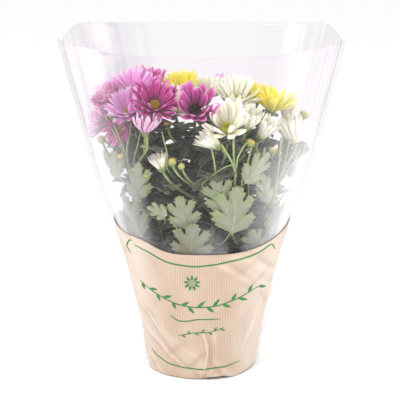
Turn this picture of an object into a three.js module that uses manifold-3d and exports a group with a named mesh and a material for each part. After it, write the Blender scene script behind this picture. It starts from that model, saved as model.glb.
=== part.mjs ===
// Pot chrysanthemum: six cuttings in a grower's pot, in a clear film sleeve with two kraft paper panels.
// Millimetres, +Z up, origin at the middle of the pot's base, front towards -Y.
import * as THREE from "three";
import { mergeVertices } from "three/addons/utils/BufferGeometryUtils.js";
import Module from "manifold-3d";

const wasm = await Module();
wasm.setup();

// ------------------------------------------------ driving dimensions

const GAP = 0.3; // between pieces that touch
const COLUMNS = 32; // facets round the pot, the film and, in halves, the paper

const POT = { height: 110, neckHeight: 97, baseRadius: 47.6, neckRadius: 60.4, rimRadius: 64.2 };
const POT_WALL = { side: 1.6, floor: 2 };
const DRAIN = { count: 5, radius: 5, ring: 30 };
const SOIL = { surface: 98, shoulder: 4, relief: 1.6, holeDepth: 24, holeSlack: 0.6, sides: 16 };

const SLEEVE = { height: 312, hemRadius: 48.6, rimHalfWidth: 127, rimHalfDepth: 82, film: 0.6 };
const WAIST = { depth: 5.5, top: 0.6 }; // how far the sleeve's sides draw in, below what share of its height
const SEAM = { width: 5, halfThickness: 0.6, halfNotch: 0.2 };
const FILM_ROWS = [0, 0.15, 0.28, 0.42, 0.62, 1];
const KRAFT = { stand: 0.4, thickness: 0.6, top: 128, seamRise: 12, hem: 1, swell: 1.2, edgeDegrees: 1.6 };
const KRAFT_ROWS = [0, 0.25, 0.5, 0.75, 1];
const PLANT_MARGIN = 2.6; // how far leaves and petals stay inside the sleeve's outer face

const STEM = { footDepth: 22, straightTop: 104, footRadius: 2.4, crownRadius: 1.7, sides: 6, stations: 6 };
const BRANCH = { rootRadius: 1.5, tipRadius: 1.15, sides: 5, bloomStations: 4, budStations: 3 };
const FORK = { below: 14, slope: 0.75, lowest: 0.35 }; // a branch leaves its stem lower for an end further out
const CALYX = { depth: 6.2, radius: 4.9, neck: 0.84 };
const BUD_PROFILE = [
  [-1.3, 0.78],
  [-0.7, 1],
  [-0.15, 0.72],
  [0, 0.3],
]; // height from the top and radius, in radii of the bud
const CORE = { radius: 4.3, tierHeight: 1.0, tierStep: 0.3 };
const DISC = { above: 4, radius: 4.2, height: 2.6, sides: 8, relief: 0.45 };
const PETAL = { thickness: 1.0, broadest: 0.5, tipShare: 0.45, leastOpen: 12 };
const INNER_WHORL = { open: 0.66, length: 0.94 }; // against the outer one
const LEAF = { length: 45, width: 19, thickness: 1.4, fold: 0.25, bend: 58, stalkRadius: 0.9, clearance: 0.6 };

const COLOURS = {
  magenta: 0xb8478f,
  deepMagenta: 0x9c2f72,
  pink: 0xd98cc4,
  palePink: 0xe6bfd9,
  cream: 0xe6dcc6,
  white: 0xf0eddf,
  yellow: 0xf2d22c,
};

// Each cutting: where it stands in the soil, where its main stem ends, and the compass turn of its first leaf.
const CUTTINGS = [
  { name: "magenta_front", foot: [-34, -14], crown: [-52, -30, 200], turn: 200 },
  { name: "pink_back", foot: [-28, 24], crown: [-54, 16, 212], turn: 150 },
  { name: "white_front", foot: [8, -36], crown: [14, -42, 192], turn: 280 },
  { name: "magenta_centre", foot: [-6, -4], crown: [-8, -4, 206], turn: 60 },
  { name: "white_right", foot: [38, -8], crown: [58, -14, 188], turn: 330 },
  { name: "yellow_back", foot: [16, 32], crown: [22, 36, 206], turn: 80 },
];

// How a bloom of each habit opens: petals a whorl, their length and width, and the degrees between them and the
// bloom's axis at the root, with the change from there to the tip.
const HABITS = {
  daisy: { petals: 8, length: 25, width: 8.0, open: 50, curl: -10 },
  full: { petals: 8, length: 25, width: 7.2, open: 56, curl: -8 },
  cup: { petals: 7, length: 23, width: 7.0, open: 40, curl: -12 },
  half: { petals: 6, length: 19, width: 4.0, open: 25, curl: -4 },
  shut: { petals: 6, length: 14, width: 3.2, open: 22, curl: -4 },
};

const bloom = (name, cutting, colour, habit, at, facing, size = 1, eye = "yellow") => ({
  name,
  cutting,
  colour,
  habit,
  at,
  facing,
  size,
  eye,
});

// Each bloom: its name, cutting, colour and habit, the middle of its disc, which way it faces as compass degrees
// and degrees off vertical, its size against its habit's, and the colour of its disc.
const BLOOMS = [
  bloom("magenta_1", 0, "magenta", "full", [-42, -45, 262], [-78, 40]),
  bloom("pink_1", 0, "pink", "full", [-66, -40, 255], [-108, 34], 0.88),
  bloom("pink_2", 1, "pink", "full", [-62, -4, 266], [-100, 17], 0.92),
  bloom("pale_pink_1", 0, "palePink", "cup", [-50, -62, 245], [-60, 5], 0.76),
  bloom("magenta_2", 0, "magenta", "cup", [-72, -44, 240], [-112, 102], 0.8),
  bloom("pale_pink_2", 1, "palePink", "full", [-90, -8, 238], [190, 74], 0.9),
  bloom("magenta_3", 1, "magenta", "full", [-82, -22, 259], [-150, 36], 0.8),
  bloom("pink_3", 1, "pink", "full", [-80, 22, 258], [130, 22], 0.9),
  bloom("magenta_4", 1, "magenta", "cup", [-50, 20, 263], [80, 12]),
  bloom("deep_magenta_1", 3, "deepMagenta", "cup", [-6, -48, 258], [-90, 50], 1.14, "dark"),
  bloom("cream_1", 3, "cream", "full", [-23, -24, 254], [-84, 36], 0.8),
  bloom("pink_5", 3, "pink", "half", [22, 46, 254], [80, 6]),
  bloom("yellow_1", 5, "yellow", "full", [-19, 28, 257], [-100, 12], 0.94),
  bloom("yellow_2", 5, "yellow", "full", [64, -4, 250], [20, 12], 1.04),
  bloom("yellow_3", 5, "yellow", "full", [50, 42, 246], [60, 22], 0.9),
  bloom("cream_2", 3, "cream", "full", [5, 12, 258], [-90, 14], 0.86),
  bloom("white_1", 2, "white", "daisy", [22, -57, 244], [-104, 42], 1.08),
  bloom("white_2", 4, "white", "full", [32, -10, 259], [-76, 26], 0.94),
  bloom("white_3", 2, "white", "cup", [41, -40, 243], [-40, 16], 0.88),
  bloom("white_4", 4, "white", "half", [55, -42, 235], [-20, 28], 0.95),
  bloom("white_5", 2, "white", "half", [10, -60, 230], [200, 50], 0.95),
  bloom("white_6", 2, "white", "shut", [-38, -62, 212], [210, 24], 0.92),
  bloom("white_7", 4, "white", "half", [83, -12, 223], [170, 14], 1.25),
  bloom("white_8", 4, "cream", "half", [80, 24, 234], [60, 20], 0.9),
  bloom("pink_6", 1, "pink", "full", [-52, 50, 242], [110, 40], 0.9),
  bloom("yellow_4", 5, "yellow", "daisy", [-8, 58, 240], [92, 38], 0.92),
];

// Each bud: its cutting, its top, and its radius.
const BUDS = [
  { cutting: 0, at: [-73, -50, 217], radius: 3.4 },
  { cutting: 1, at: [-92, -22, 226], radius: 4.0 },
  { cutting: 2, at: [-28, -62, 216], radius: 4.2 },
  { cutting: 2, at: [-19, -62, 211], radius: 3.2 },
  { cutting: 0, at: [-50, -62, 203], radius: 3.6 },
  { cutting: 3, at: [-32, -38, 243], radius: 3.6 },
  { cutting: 2, at: [44, -58, 232], radius: 4.2 },
  { cutting: 4, at: [64, -40, 220], radius: 3.6 },
  { cutting: 4, at: [95, 6, 243], radius: 4.4 },
  { cutting: 4, at: [66, -48, 180], radius: 2.8 },
  { cutting: 5, at: [30, 66, 222], radius: 3.8 },
  { cutting: 1, at: [-84, 38, 226], radius: 3.8 },
];

// Each leaf that the film presses flat: its cutting, the height where its stalk leaves the stem, x and z of its
// base and tip, its half width over its length, how far it lies behind the film, and its side, 1 at the back.
const PRESSED_LEAVES = [
  { cutting: 2, from: 128, base: [27, 145], tip: [33, 194], width: 0.5 },
  { cutting: 2, from: 154, base: [22, 168], tip: [11, 202], width: 0.5, depth: 3 },
  { cutting: 2, from: 134, base: [-14, 150], tip: [-21, 184], width: 0.5, depth: 3 },
  { cutting: 2, from: 110, base: [-11, 120], tip: [-8, 159], width: 0.56 },
  { cutting: 0, from: 150, base: [-60, 174], tip: [-57, 215], width: 0.38 },
  { cutting: 4, from: 158, base: [37, 194], tip: [61, 223], width: 0.34 },
  { cutting: 0, from: 124, base: [-54, 137], tip: [-74, 180], width: 0.34 },
  { cutting: 0, from: 168, base: [-74, 194], tip: [-90, 218], width: 0.42 },
  { cutting: 0, from: 140, base: [-30, 165], tip: [-50, 171], width: 0.4 },
  { cutting: 4, from: 148, base: [60, 171], tip: [54, 205], width: 0.3 },
  { cutting: 4, from: 122, base: [60, 139], tip: [80, 170], width: 0.36 },
  { cutting: 4, from: 112, base: [54, 124], tip: [44, 150], width: 0.5 },
  { cutting: 5, from: 128, base: [22, 140], tip: [26, 186], width: 0.5, side: 1 },
  { cutting: 1, from: 126, base: [-36, 138], tip: [-44, 182], width: 0.5, side: 1 },
  { cutting: 5, from: 150, base: [56, 168], tip: [64, 206], width: 0.42, side: 1 },
];

// The other leaves climb each stem in a spiral. One that would cross a neighbour turns or shortens.
const SPIRAL = { perStem: 6, lowest: 116, turn: 137.5, pitch: 38 };
const SPRIG = { every: 2, share: 0.5, pitch: 40, spread: 70 }; // a leaf on the branch of every second bloom
const LEAF_TURNS = [0, 24, -24, 48, -48, 76, -76, 105, -105];
const LEAF_SCALES = [1, 0.78];
const PETAL_CLOSINGS = [0, 8, 16, 24, 34];
const PETAL_SHORTENINGS = [1, 0.8, 0.55];

// ------------------------------------------------ small helpers

const vec = (x, y, z) => new THREE.Vector3(x, y, z);
const radians = THREE.MathUtils.degToRad;
const lerp = THREE.MathUtils.lerp;
const clamp = THREE.MathUtils.clamp;

/** A repeatable draw from -1 to 1 for a pair of whole numbers. */
function wobble(i, j) {
  const s = Math.sin(i * 12.9898 + j * 78.233) * 43758.5453;
  return 2 * (s - Math.floor(s)) - 1;
}

/** base + a * u + b * w and so on, as a new vector. */
function along(base, ...terms) {
  const p = base.clone();
  for (let i = 0; i < terms.length; i += 2) p.addScaledVector(terms[i], terms[i + 1]);
  return p;
}

function directionOf([compass, tilt]) {
  const a = radians(compass);
  const t = radians(tilt);
  return vec(Math.sin(t) * Math.cos(a), Math.sin(t) * Math.sin(a), Math.cos(t));
}

/** Two directions square to an axis, which turn with it. */
function squareTo(axis) {
  const first = along(vec(1, 0, 0), axis, -axis.x).normalize();
  return [first, axis.clone().cross(first)];
}

// ------------------------------------------------ three.js geometry to manifold solids and back

/** A closed solid from points and triangles. */
function solidFrom(points, triangles) {
  return new wasm.Manifold(
    new wasm.Mesh({
      numProp: 3,
      vertProperties: new Float32Array(points.flatMap((p) => [p.x, p.y, p.z])),
      triVerts: new Uint32Array(triangles.flat()),
    }),
  );
}

function solidOfGeometry(geometry) {
  const bare = geometry.clone();
  bare.deleteAttribute("normal");
  bare.deleteAttribute("uv");
  const merged = mergeVertices(bare, 1e-4);
  const { array } = merged.attributes.position;
  const triVerts = new Uint32Array(merged.index.array);
  return new wasm.Manifold(new wasm.Mesh({ numProp: 3, vertProperties: array, triVerts }));
}

function geometryOf(solid) {
  const mesh = solid.getMesh();
  const geometry = new THREE.BufferGeometry();
  geometry.setAttribute("position", new THREE.BufferAttribute(new Float32Array(mesh.vertProperties), 3));
  geometry.setIndex(new THREE.BufferAttribute(new Uint32Array(mesh.triVerts), 1));
  const facets = geometry.toNonIndexed();
  facets.computeVertexNormals();
  return facets;
}

const touches = (solid, others) => others.some((other) => !solid.intersect(other).isEmpty());

// ------------------------------------------------ the sleeve's shape

/** Half-axes and corner power of the sleeve's outer face at a height: round below, and a flat oval above. */
function section(z) {
  const s = z / SLEEVE.height;
  const drawnIn = WAIST.depth * Math.sin(Math.PI * Math.min(s / WAIST.top, 1));
  return {
    a: lerp(SLEEVE.hemRadius, SLEEVE.rimHalfWidth, s) - drawnIn,
    b: lerp(SLEEVE.hemRadius, SLEEVE.rimHalfDepth, Math.sin((Math.PI * s) / 2)),
    power: 2 + 0.5 * s,
  };
}

function sleevePoint(angle, z, offset = 0) {
  const { a, b, power } = section(z);
  const c = Math.cos(angle);
  const s = Math.sin(angle);
  const x = (a + offset) * Math.sign(c) * Math.abs(c) ** (2 / power);
  const y = (b + offset) * Math.sign(s) * Math.abs(s) ** (2 / power);
  return vec(x, y, z);
}

/** p, or the point level with it that lies margin inside the sleeve's outer face. */
function insideSleeve(p, margin = PLANT_MARGIN) {
  const { a, b, power } = section(p.z);
  const sum = Math.abs(p.x / (a - margin)) ** power + Math.abs(p.y / (b - margin)) ** power;
  const share = sum ** (1 / power);
  return share > 1 ? vec(p.x / share, p.y / share, p.z) : p;
}

/** The point on the front (-1) or back (1) of the sleeve, margin inside it, with that x and z. */
function pressedPoint([x, z], side, margin) {
  const { a, b, power } = section(z);
  const left = Math.max(0, 1 - Math.abs(x / (a - margin)) ** power);
  return vec(x, side * (b - margin) * left ** (1 / power), z);
}

const rimHeight = (c) =>
  SLEEVE.height + 9 * Math.abs(c) ** 3 - 10 * Math.max(0, (Math.abs(c) - 0.82) / 0.18) ** 2;
const filmHem = (c) => 0.4 + 1.6 * Math.max(0, c) ** 3;
const kraftTop = (c) => KRAFT.top + KRAFT.seamRise * Math.abs(c) ** 3;
const kraftHem = (c) => KRAFT.hem + 2.2 * clamp(c / 0.2, 0, 1) + 5 * Math.max(0, c) ** 4;

/** Two grids of points, the second inside the first, closed into a wall. A grid is rows of points round +Z. */
function wall(outer, inner, closed) {
  const rows = outer.length;
  const columns = outer[0].length;
  const points = [...outer.flat(), ...inner.flat()];
  const out = (r, c) => r * columns + (c % columns);
  const into = (r, c) => rows * columns + out(r, c);
  const triangles = [];
  const quad = (p, q, r, s) => triangles.push([p, q, r], [p, r, s]);
  const spans = closed ? columns : columns - 1;
  for (let c = 0; c < spans; c++) {
    for (let r = 0; r < rows - 1; r++) {
      quad(out(r, c), out(r, c + 1), out(r + 1, c + 1), out(r + 1, c));
      quad(into(r + 1, c + 1), into(r, c + 1), into(r, c), into(r + 1, c));
    }
    quad(into(0, c), into(0, c + 1), out(0, c + 1), out(0, c));
    quad(out(rows - 1, c), out(rows - 1, c + 1), into(rows - 1, c + 1), into(rows - 1, c));
  }
  for (let r = 0; !closed && r < rows - 1; r++) {
    quad(into(r, 0), out(r, 0), out(r + 1, 0), into(r + 1, 0));
    quad(out(r, columns - 1), into(r, columns - 1), into(r + 1, columns - 1), out(r + 1, columns - 1));
  }
  return solidFrom(points, triangles);
}

/** The film: one closed sleeve of two panels, with a welded seam standing out at each side. */
function filmSolid() {
  const { width, halfThickness, halfNotch } = SEAM;
  const ring = (share, offset, isOuter) => {
    const points = [];
    for (let k = 0; k < COLUMNS; k++) {
      const angle = (2 * Math.PI * k) / COLUMNS;
      const c = Math.cos(angle);
      const z = lerp(filmHem(c), rimHeight(c), share);
      const atSeam = k % (COLUMNS / 2) === 0;
      if (!atSeam) {
        points.push(sleevePoint(angle, z, offset));
        continue;
      }
      const side = Math.sign(c);
      const { x } = sleevePoint(angle, z, offset);
      const tip = isOuter ? x + side * width : x;
      const narrow = isOuter ? halfThickness : halfNotch;
      points.push(vec(x, -side * halfThickness, z), vec(tip, -side * narrow, z));
      points.push(vec(tip, side * narrow, z), vec(x, side * halfThickness, z));
    }
    return points;
  };
  const outer = FILM_ROWS.map((share) => ring(share, 0, true));
  const inner = FILM_ROWS.map((share) => ring(share, -SLEEVE.film, false));
  return wall(outer, inner, true);
}

/** One paper panel, from seam to seam. side is -1 for the front and 1 for the back. */
function kraftSolid(side) {
  const step = 360 / COLUMNS;
  const angles = [KRAFT.edgeDegrees];
  for (let d = step; d < 180; d += step) angles.push(d);
  angles.push(180 - KRAFT.edgeDegrees);
  const turned = angles.map((d) => radians(side > 0 ? d : d - 180));
  const grid = (offset) =>
    KRAFT_ROWS.map((share) =>
      turned.map((angle) => {
        const c = Math.cos(angle);
        const z = lerp(kraftHem(c), kraftTop(c), share);
        const swell = KRAFT.swell * Math.sin(Math.PI * share) * Math.max(0, Math.sin(3 * angle + 0.6));
        return sleevePoint(angle, z, offset + swell);
      }),
    );
  return wall(grid(KRAFT.stand + KRAFT.thickness), grid(KRAFT.stand), false);
}

// ------------------------------------------------ pot and soil

/** A solid of revolution about Z, from [radius, height] pairs that start and end on the axis, then warped. */
function turnedSolid(profile, sides, warp = (point) => point) {
  const outline = profile.map(([r, z]) => new THREE.Vector2(r, z));
  const geometry = new THREE.LatheGeometry(outline, sides).rotateX(Math.PI / 2);
  const { position } = geometry.attributes;
  for (let i = 0; i < position.count; i++) {
    position.setXYZ(i, ...warp([position.getX(i), position.getY(i), position.getZ(i)]));
  }
  return solidOfGeometry(geometry);
}

function roundCutter(x, y, low, high, radius) {
  const geometry = new THREE.CylinderGeometry(radius, radius, high - low, 8).rotateX(Math.PI / 2);
  return solidOfGeometry(geometry.translate(x, y, (low + high) / 2));
}

function potSolid() {
  const { baseRadius, neckRadius, rimRadius, neckHeight, height } = POT;
  const { side, floor } = POT_WALL;
  const profile = [
    [0, 0],
    [baseRadius, 0],
    [neckRadius, neckHeight],
    [rimRadius - 0.5, neckHeight + 1.5],
    [rimRadius, height - 0.6],
    [rimRadius - 1, height],
    [rimRadius - side - 1.2, neckHeight + 2.5],
    [neckRadius - side, neckHeight - 0.5],
    [baseRadius - side, floor],
    [0, floor],
  ];
  let pot = turnedSolid(profile, COLUMNS);
  for (let i = 0; i < DRAIN.count; i++) {
    const a = (2 * Math.PI * (i + 0.25)) / DRAIN.count;
    const [x, y] = [DRAIN.ring * Math.cos(a), DRAIN.ring * Math.sin(a)];
    pot = pot.subtract(roundCutter(x, y, -1, floor + 1, DRAIN.radius));
  }
  return pot;
}

/** Peat up to the pot's neck, with an uneven top and a plain hole for each stem. */
function soilSolid() {
  const clear = POT_WALL.side + 2 * GAP;
  const innerRadius = (z) => lerp(POT.baseRadius, POT.neckRadius, z / POT.neckHeight) - clear;
  const floor = POT_WALL.floor + GAP;
  const edge = SOIL.surface - SOIL.shoulder;
  const profile = [
    [0, floor],
    [innerRadius(floor) - 1, floor],
    [innerRadius(edge), edge],
    [44, SOIL.surface - 1],
    [22, SOIL.surface],
    [0, SOIL.surface],
  ];
  let soil = turnedSolid(profile, SOIL.sides, ([x, y, z]) => {
    if (z < edge + 1) return [x, y, z];
    return [x, y, z + SOIL.relief * Math.sin(x * 0.31) * Math.cos(y * 0.27 + 1)];
  });
  const radius = STEM.footRadius + SOIL.holeSlack;
  for (const { foot } of CUTTINGS) {
    soil = soil.subtract(roundCutter(...foot, SOIL.surface - SOIL.holeDepth, SOIL.surface + 10, radius));
  }
  return soil;
}

// ------------------------------------------------ stems, branches, calyces and buds

/** A tube with few sides round a path, with a radius at each station. */
function sweep(path, radii, sides) {
  const points = [];
  const triangles = [];
  path.forEach((p, i) => {
    const ahead = path[Math.min(i + 1, path.length - 1)];
    const behind = path[Math.max(i - 1, 0)];
    const [u, w] = squareTo(ahead.clone().sub(behind).normalize());
    for (let k = 0; k < sides; k++) {
      const a = (2 * Math.PI * k) / sides;
      points.push(along(p, u, radii[i] * Math.cos(a), w, radii[i] * Math.sin(a)));
    }
  });
  const last = (path.length - 1) * sides;
  for (let i = 0; i < path.length - 1; i++)
    for (let k = 0; k < sides; k++) {
      const p = i * sides + k;
      const q = i * sides + ((k + 1) % sides);
      triangles.push([p, q, q + sides], [p, q + sides, p + sides]);
    }
  for (let k = 1; k < sides - 1; k++) triangles.push([0, k + 1, k], [last, last + k, last + k + 1]);
  return solidFrom(points, triangles);
}

function mainCurve({ foot, crown }) {
  const start = vec(...foot, STEM.straightTop);
  const end = vec(...crown);
  const lean = end.clone().sub(start);
  return new THREE.CubicBezierCurve3(
    start,
    along(start, vec(0, 0, 1), lean.z * 0.4),
    along(end, lean, -0.25, vec(0, 0, 1), -lean.z * 0.1),
    end,
  );
}

/** Where on a main stem, from 0 to 1, the branch to that end leaves it. */
function forkShare(curve, end) {
  const crown = curve.v3;
  const out = Math.hypot(end.x - crown.x, end.y - crown.y);
  const height = Math.min(end.z - FORK.below - FORK.slope * out, crown.z);
  return clamp((height - curve.v0.z) / (crown.z - curve.v0.z), FORK.lowest, 1);
}

/** The path from a main stem to end, arriving along axis. */
function branchPath(curve, end, axis, stations) {
  const share = forkShare(curve, end);
  const start = curve.getPoint(share);
  const reach = end.clone().sub(start);
  const length = reach.length();
  const leave = curve.getTangent(share).add(reach.normalize()).normalize();
  const [first, second] = [along(start, leave, length * 0.38), along(end, axis, -length * 0.34)];
  return new THREE.CubicBezierCurve3(start, first, second, end).getPoints(stations - 1);
}

function branchRadii(path) {
  return path.map((_, i) => lerp(BRANCH.rootRadius, BRANCH.tipRadius, i / (path.length - 1)));
}

/** The foot of a bloom's petals: the plane that its calyx ends in. */
function seatOf(bloom) {
  return along(vec(...bloom.at), directionOf(bloom.facing), -DISC.above);
}

function bloomPath(curve, bloom) {
  const axis = directionOf(bloom.facing);
  return branchPath(curve, along(seatOf(bloom), axis, -CALYX.depth), axis, BRANCH.bloomStations);
}

function bloomBranch(curve, bloom) {
  const axis = directionOf(bloom.facing);
  const seat = seatOf(bloom);
  const size = Math.min(1, bloom.size);
  const path = bloomPath(curve, bloom);
  const radii = [...branchRadii(path), CALYX.radius * CALYX.neck * size, CALYX.radius * size];
  path.push(along(seat, axis, -CALYX.depth / 2), along(seat, axis, -GAP));
  return sweep(path, radii, BRANCH.sides);
}

function budAxis(curve, at) {
  const out = at.clone().sub(curve.v3).setZ(0).normalize();
  return along(vec(0, 0, 1), out, 0.35).normalize();
}

function budBranch(curve, { at, radius }) {
  const top = vec(...at);
  const axis = budAxis(curve, top);
  const path = branchPath(curve, along(top, axis, -1.7 * radius), axis, BRANCH.budStations);
  const radii = branchRadii(path);
  for (const [height, share] of BUD_PROFILE) {
    path.push(along(top, axis, height * radius));
    radii.push(share * radius);
  }
  return sweep(path, radii, BRANCH.sides);
}

function mainStem(cutting, curve) {
  const foot = vec(...cutting.foot, SOIL.surface - STEM.footDepth);
  const path = [foot, ...curve.getPoints(STEM.stations - 1)];
  const radii = path.map((_, i) => lerp(STEM.footRadius, STEM.crownRadius, i / (path.length - 1)));
  return sweep(path, radii, STEM.sides);
}

// ------------------------------------------------ blooms

/** One petal's corners: left and right at its broadest, above and below its middle, and both at its tip. */
function petalCorners(bloom, tier, j, closing, shortening) {
  const habit = HABITS[bloom.habit];
  const { size } = bloom;
  const axis = directionOf(bloom.facing);
  const [u, w] = squareTo(axis);
  const seat = seatOf(bloom);
  const key = BLOOMS.indexOf(bloom) * 40 + tier * 20 + j;
  const turn = ((j + 0.5 + tier * 0.5 + 0.12 * wobble(key, 1)) * 2 * Math.PI) / habit.petals;
  const spread = habit.open * (tier ? INNER_WHORL.open : 1) + 5 * wobble(key, 2) - closing;
  const open = Math.max(spread, PETAL.leastOpen);
  const fullLength = habit.length * size * (tier ? INNER_WHORL.length : 1) * (1 + 0.06 * wobble(key, 3));
  const length = fullLength * shortening;
  const out = along(vec(0, 0, 0), u, Math.cos(turn), w, Math.sin(turn));
  const across = along(vec(0, 0, 0), u, -Math.sin(turn), w, Math.cos(turn));
  const [first, second] = [radians(open), radians(open + habit.curl)];
  const [near, far] = [length * PETAL.broadest, length * (1 - PETAL.broadest)];
  const broadRadius = CORE.radius * size + near * Math.sin(first);
  const broadHeight = (tier + 0.5) * CORE.tierHeight + tier * CORE.tierStep + near * Math.cos(first);
  const middle = along(seat, out, broadRadius, axis, broadHeight);
  const tip = along(middle, out, far * Math.sin(second), axis, far * Math.cos(second));
  const face = along(vec(0, 0, 0), axis, Math.sin(first), out, -Math.cos(first));
  const side = (habit.width * size) / 2;
  const centre = insideSleeve(along(middle, face, -0.24 * side));
  return {
    left: insideSleeve(along(centre, across, -side, face, 0.2 * side)),
    right: insideSleeve(along(centre, across, side, face, 0.2 * side)),
    top: along(centre, face, PETAL.thickness / 2),
    bottom: along(centre, face, -PETAL.thickness / 2),
    tipLeft: insideSleeve(along(tip, across, -side * PETAL.tipShare)),
    tipRight: insideSleeve(along(tip, across, side * PETAL.tipShare)),
  };
}

/** The ring of corners that a whorl's petals grow from. */
function coreRing(bloom, tier, height) {
  const { petals } = HABITS[bloom.habit];
  const axis = directionOf(bloom.facing);
  const [u, w] = squareTo(axis);
  const seat = seatOf(bloom);
  const r = CORE.radius * bloom.size;
  return Array.from({ length: petals }, (_, j) => {
    const a = ((j + tier * 0.5) * 2 * Math.PI) / petals;
    return along(seat, u, r * Math.cos(a), w, r * Math.sin(a), axis, height);
  });
}

// Corner numbers of one petal: upper and lower root corners, then those of petalCorners in order.
const [UL, UR, LL, LR, BL, BR, TOP, BOTTOM, TL, TR] = [0, 1, 2, 3, 4, 5, 6, 7, 8, 9];
const PETAL_FACES = [
  [UL, BL, TOP],
  [UL, TOP, UR],
  [UR, TOP, BR],
  [BL, TL, TOP],
  [TL, TR, TOP],
  [TR, BR, TOP],
  [LL, BOTTOM, BL],
  [LL, LR, BOTTOM],
  [LR, BR, BOTTOM],
  [BL, BOTTOM, TL],
  [TL, BOTTOM, TR],
  [TR, BOTTOM, BR],
  [UL, LL, BL],
  [UR, BR, LR],
];
const ROOT_FACES = [
  [UL, UR, LR],
  [UL, LR, LL],
];

/** One petal on its own, a little larger than it is, to see what it would touch. */
function petalProbe(bloom, tier, j, corners) {
  const tierBase = tier * (CORE.tierHeight + CORE.tierStep);
  const upper = coreRing(bloom, tier, tierBase + CORE.tierHeight);
  const lower = coreRing(bloom, tier, tierBase);
  const n = upper.length;
  const points = [upper[j], upper[(j + 1) % n], lower[j], lower[(j + 1) % n]];
  const { left, right, top, bottom, tipLeft, tipRight } = corners;
  const middle = along(left, right.clone().sub(left), 0.5);
  const tip = along(tipLeft, tipRight.clone().sub(tipLeft), 0.5);
  const onward = tip.clone().sub(middle).normalize();
  const grow = (p, from, by) => along(p, p.clone().sub(from).normalize(), by);
  points.push(grow(left, middle, 0.6), grow(right, middle, 0.6));
  points.push(grow(top, bottom, 0.5), grow(bottom, top, 0.5));
  points.push(along(grow(tipLeft, tip, 0.4), onward, 0.8), along(grow(tipRight, tip, 0.4), onward, 0.8));
  return solidFrom(points, [...PETAL_FACES, ...ROOT_FACES]);
}

/** Corners of a petal that is clear of its neighbours: it closes up, and then shortens, until it is. */
function clearPetal(bloom, tier, j, neighbours) {
  for (const shortening of PETAL_SHORTENINGS)
    for (const closing of PETAL_CLOSINGS) {
      const corners = petalCorners(bloom, tier, j, closing, shortening);
      if (!touches(petalProbe(bloom, tier, j, corners), neighbours)) return corners;
    }
  return petalCorners(bloom, tier, j, PETAL_CLOSINGS.at(-1), 0.35);
}

/** Two whorls of petals on one core, as one closed mesh. */
function bloomSolid(bloom, neighbours) {
  const { petals } = HABITS[bloom.habit];
  const points = [];
  const triangles = [];
  const rings = [];
  for (const tier of [0, 1]) {
    const tierBase = tier * (CORE.tierHeight + CORE.tierStep);
    const lower = points.push(...coreRing(bloom, tier, tierBase)) - petals;
    const upper = points.push(...coreRing(bloom, tier, tierBase + CORE.tierHeight)) - petals;
    rings.push({ lower, upper });
    for (let j = 0; j < petals; j++) {
      const next = (j + 1) % petals;
      const corners = Object.values(clearPetal(bloom, tier, j, neighbours));
      const first = points.push(...corners) - corners.length;
      const numbers = [upper + j, upper + next, lower + j, lower + next, ...corners.map((_, i) => first + i)];
      triangles.push(...PETAL_FACES.map((face) => face.map((i) => numbers[i])));
    }
  }
  const [outer, inner] = rings;
  for (let j = 0; j < petals; j++) {
    const next = (j + 1) % petals;
    triangles.push([outer.upper + j, outer.upper + next, inner.lower + j]);
    triangles.push([inner.lower + j, outer.upper + next, inner.lower + next]);
    if (j > 0 && next > 0) {
      triangles.push([outer.lower, outer.lower + next, outer.lower + j]);
      triangles.push([inner.upper, inner.upper + j, inner.upper + next]);
    }
  }
  return solidFrom(points, triangles);
}

/** The domed middle of a bloom, with every other corner raised. */
function discSolid(bloom) {
  const axis = directionOf(bloom.facing);
  const [u, w] = squareTo(axis);
  const { size } = bloom;
  const base = 2 * CORE.tierHeight + CORE.tierStep + GAP;
  const points = [];
  const triangles = [];
  const levels = [
    [0.94, 0],
    [0.9, 0.6],
  ];
  for (const [i, [share, rise]] of levels.entries())
    for (let k = 0; k < DISC.sides; k++) {
      const a = (2 * Math.PI * k) / DISC.sides;
      const bump = i && (i + k) % 2 ? DISC.relief : 0;
      const r = (DISC.radius * share + bump) * size;
      const height = base + rise * DISC.height + bump;
      points.push(along(seatOf(bloom), u, r * Math.cos(a), w, r * Math.sin(a), axis, height));
    }
  const apex = points.push(along(seatOf(bloom), axis, base + DISC.height)) - 1;
  const n = DISC.sides;
  for (let k = 0; k < n; k++) {
    const next = (k + 1) % n;
    triangles.push([k, next, n + next], [k, n + next, n + k], [n + k, n + next, apex]);
    if (k > 0 && next > 0) triangles.push([0, next, k]);
  }
  return solidFrom(points, triangles);
}

// ------------------------------------------------ leaves

// Half a blade's outline: share of its length, share of its half width. Two blunt lobes, then the end lobe.
const HALF_OUTLINE = [
  [0.1, 0.05],
  [0.26, 0.62],
  [0.4, 0.9],
  [0.42, 0.44],
  [0.6, 1.0],
  [0.72, 0.8],
  [0.73, 0.36],
  [0.9, 0.4],
];
const SINUS = 3; // the outline point that both points of the midrib meet
const MIDRIB = [0.33, 0.66];

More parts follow.
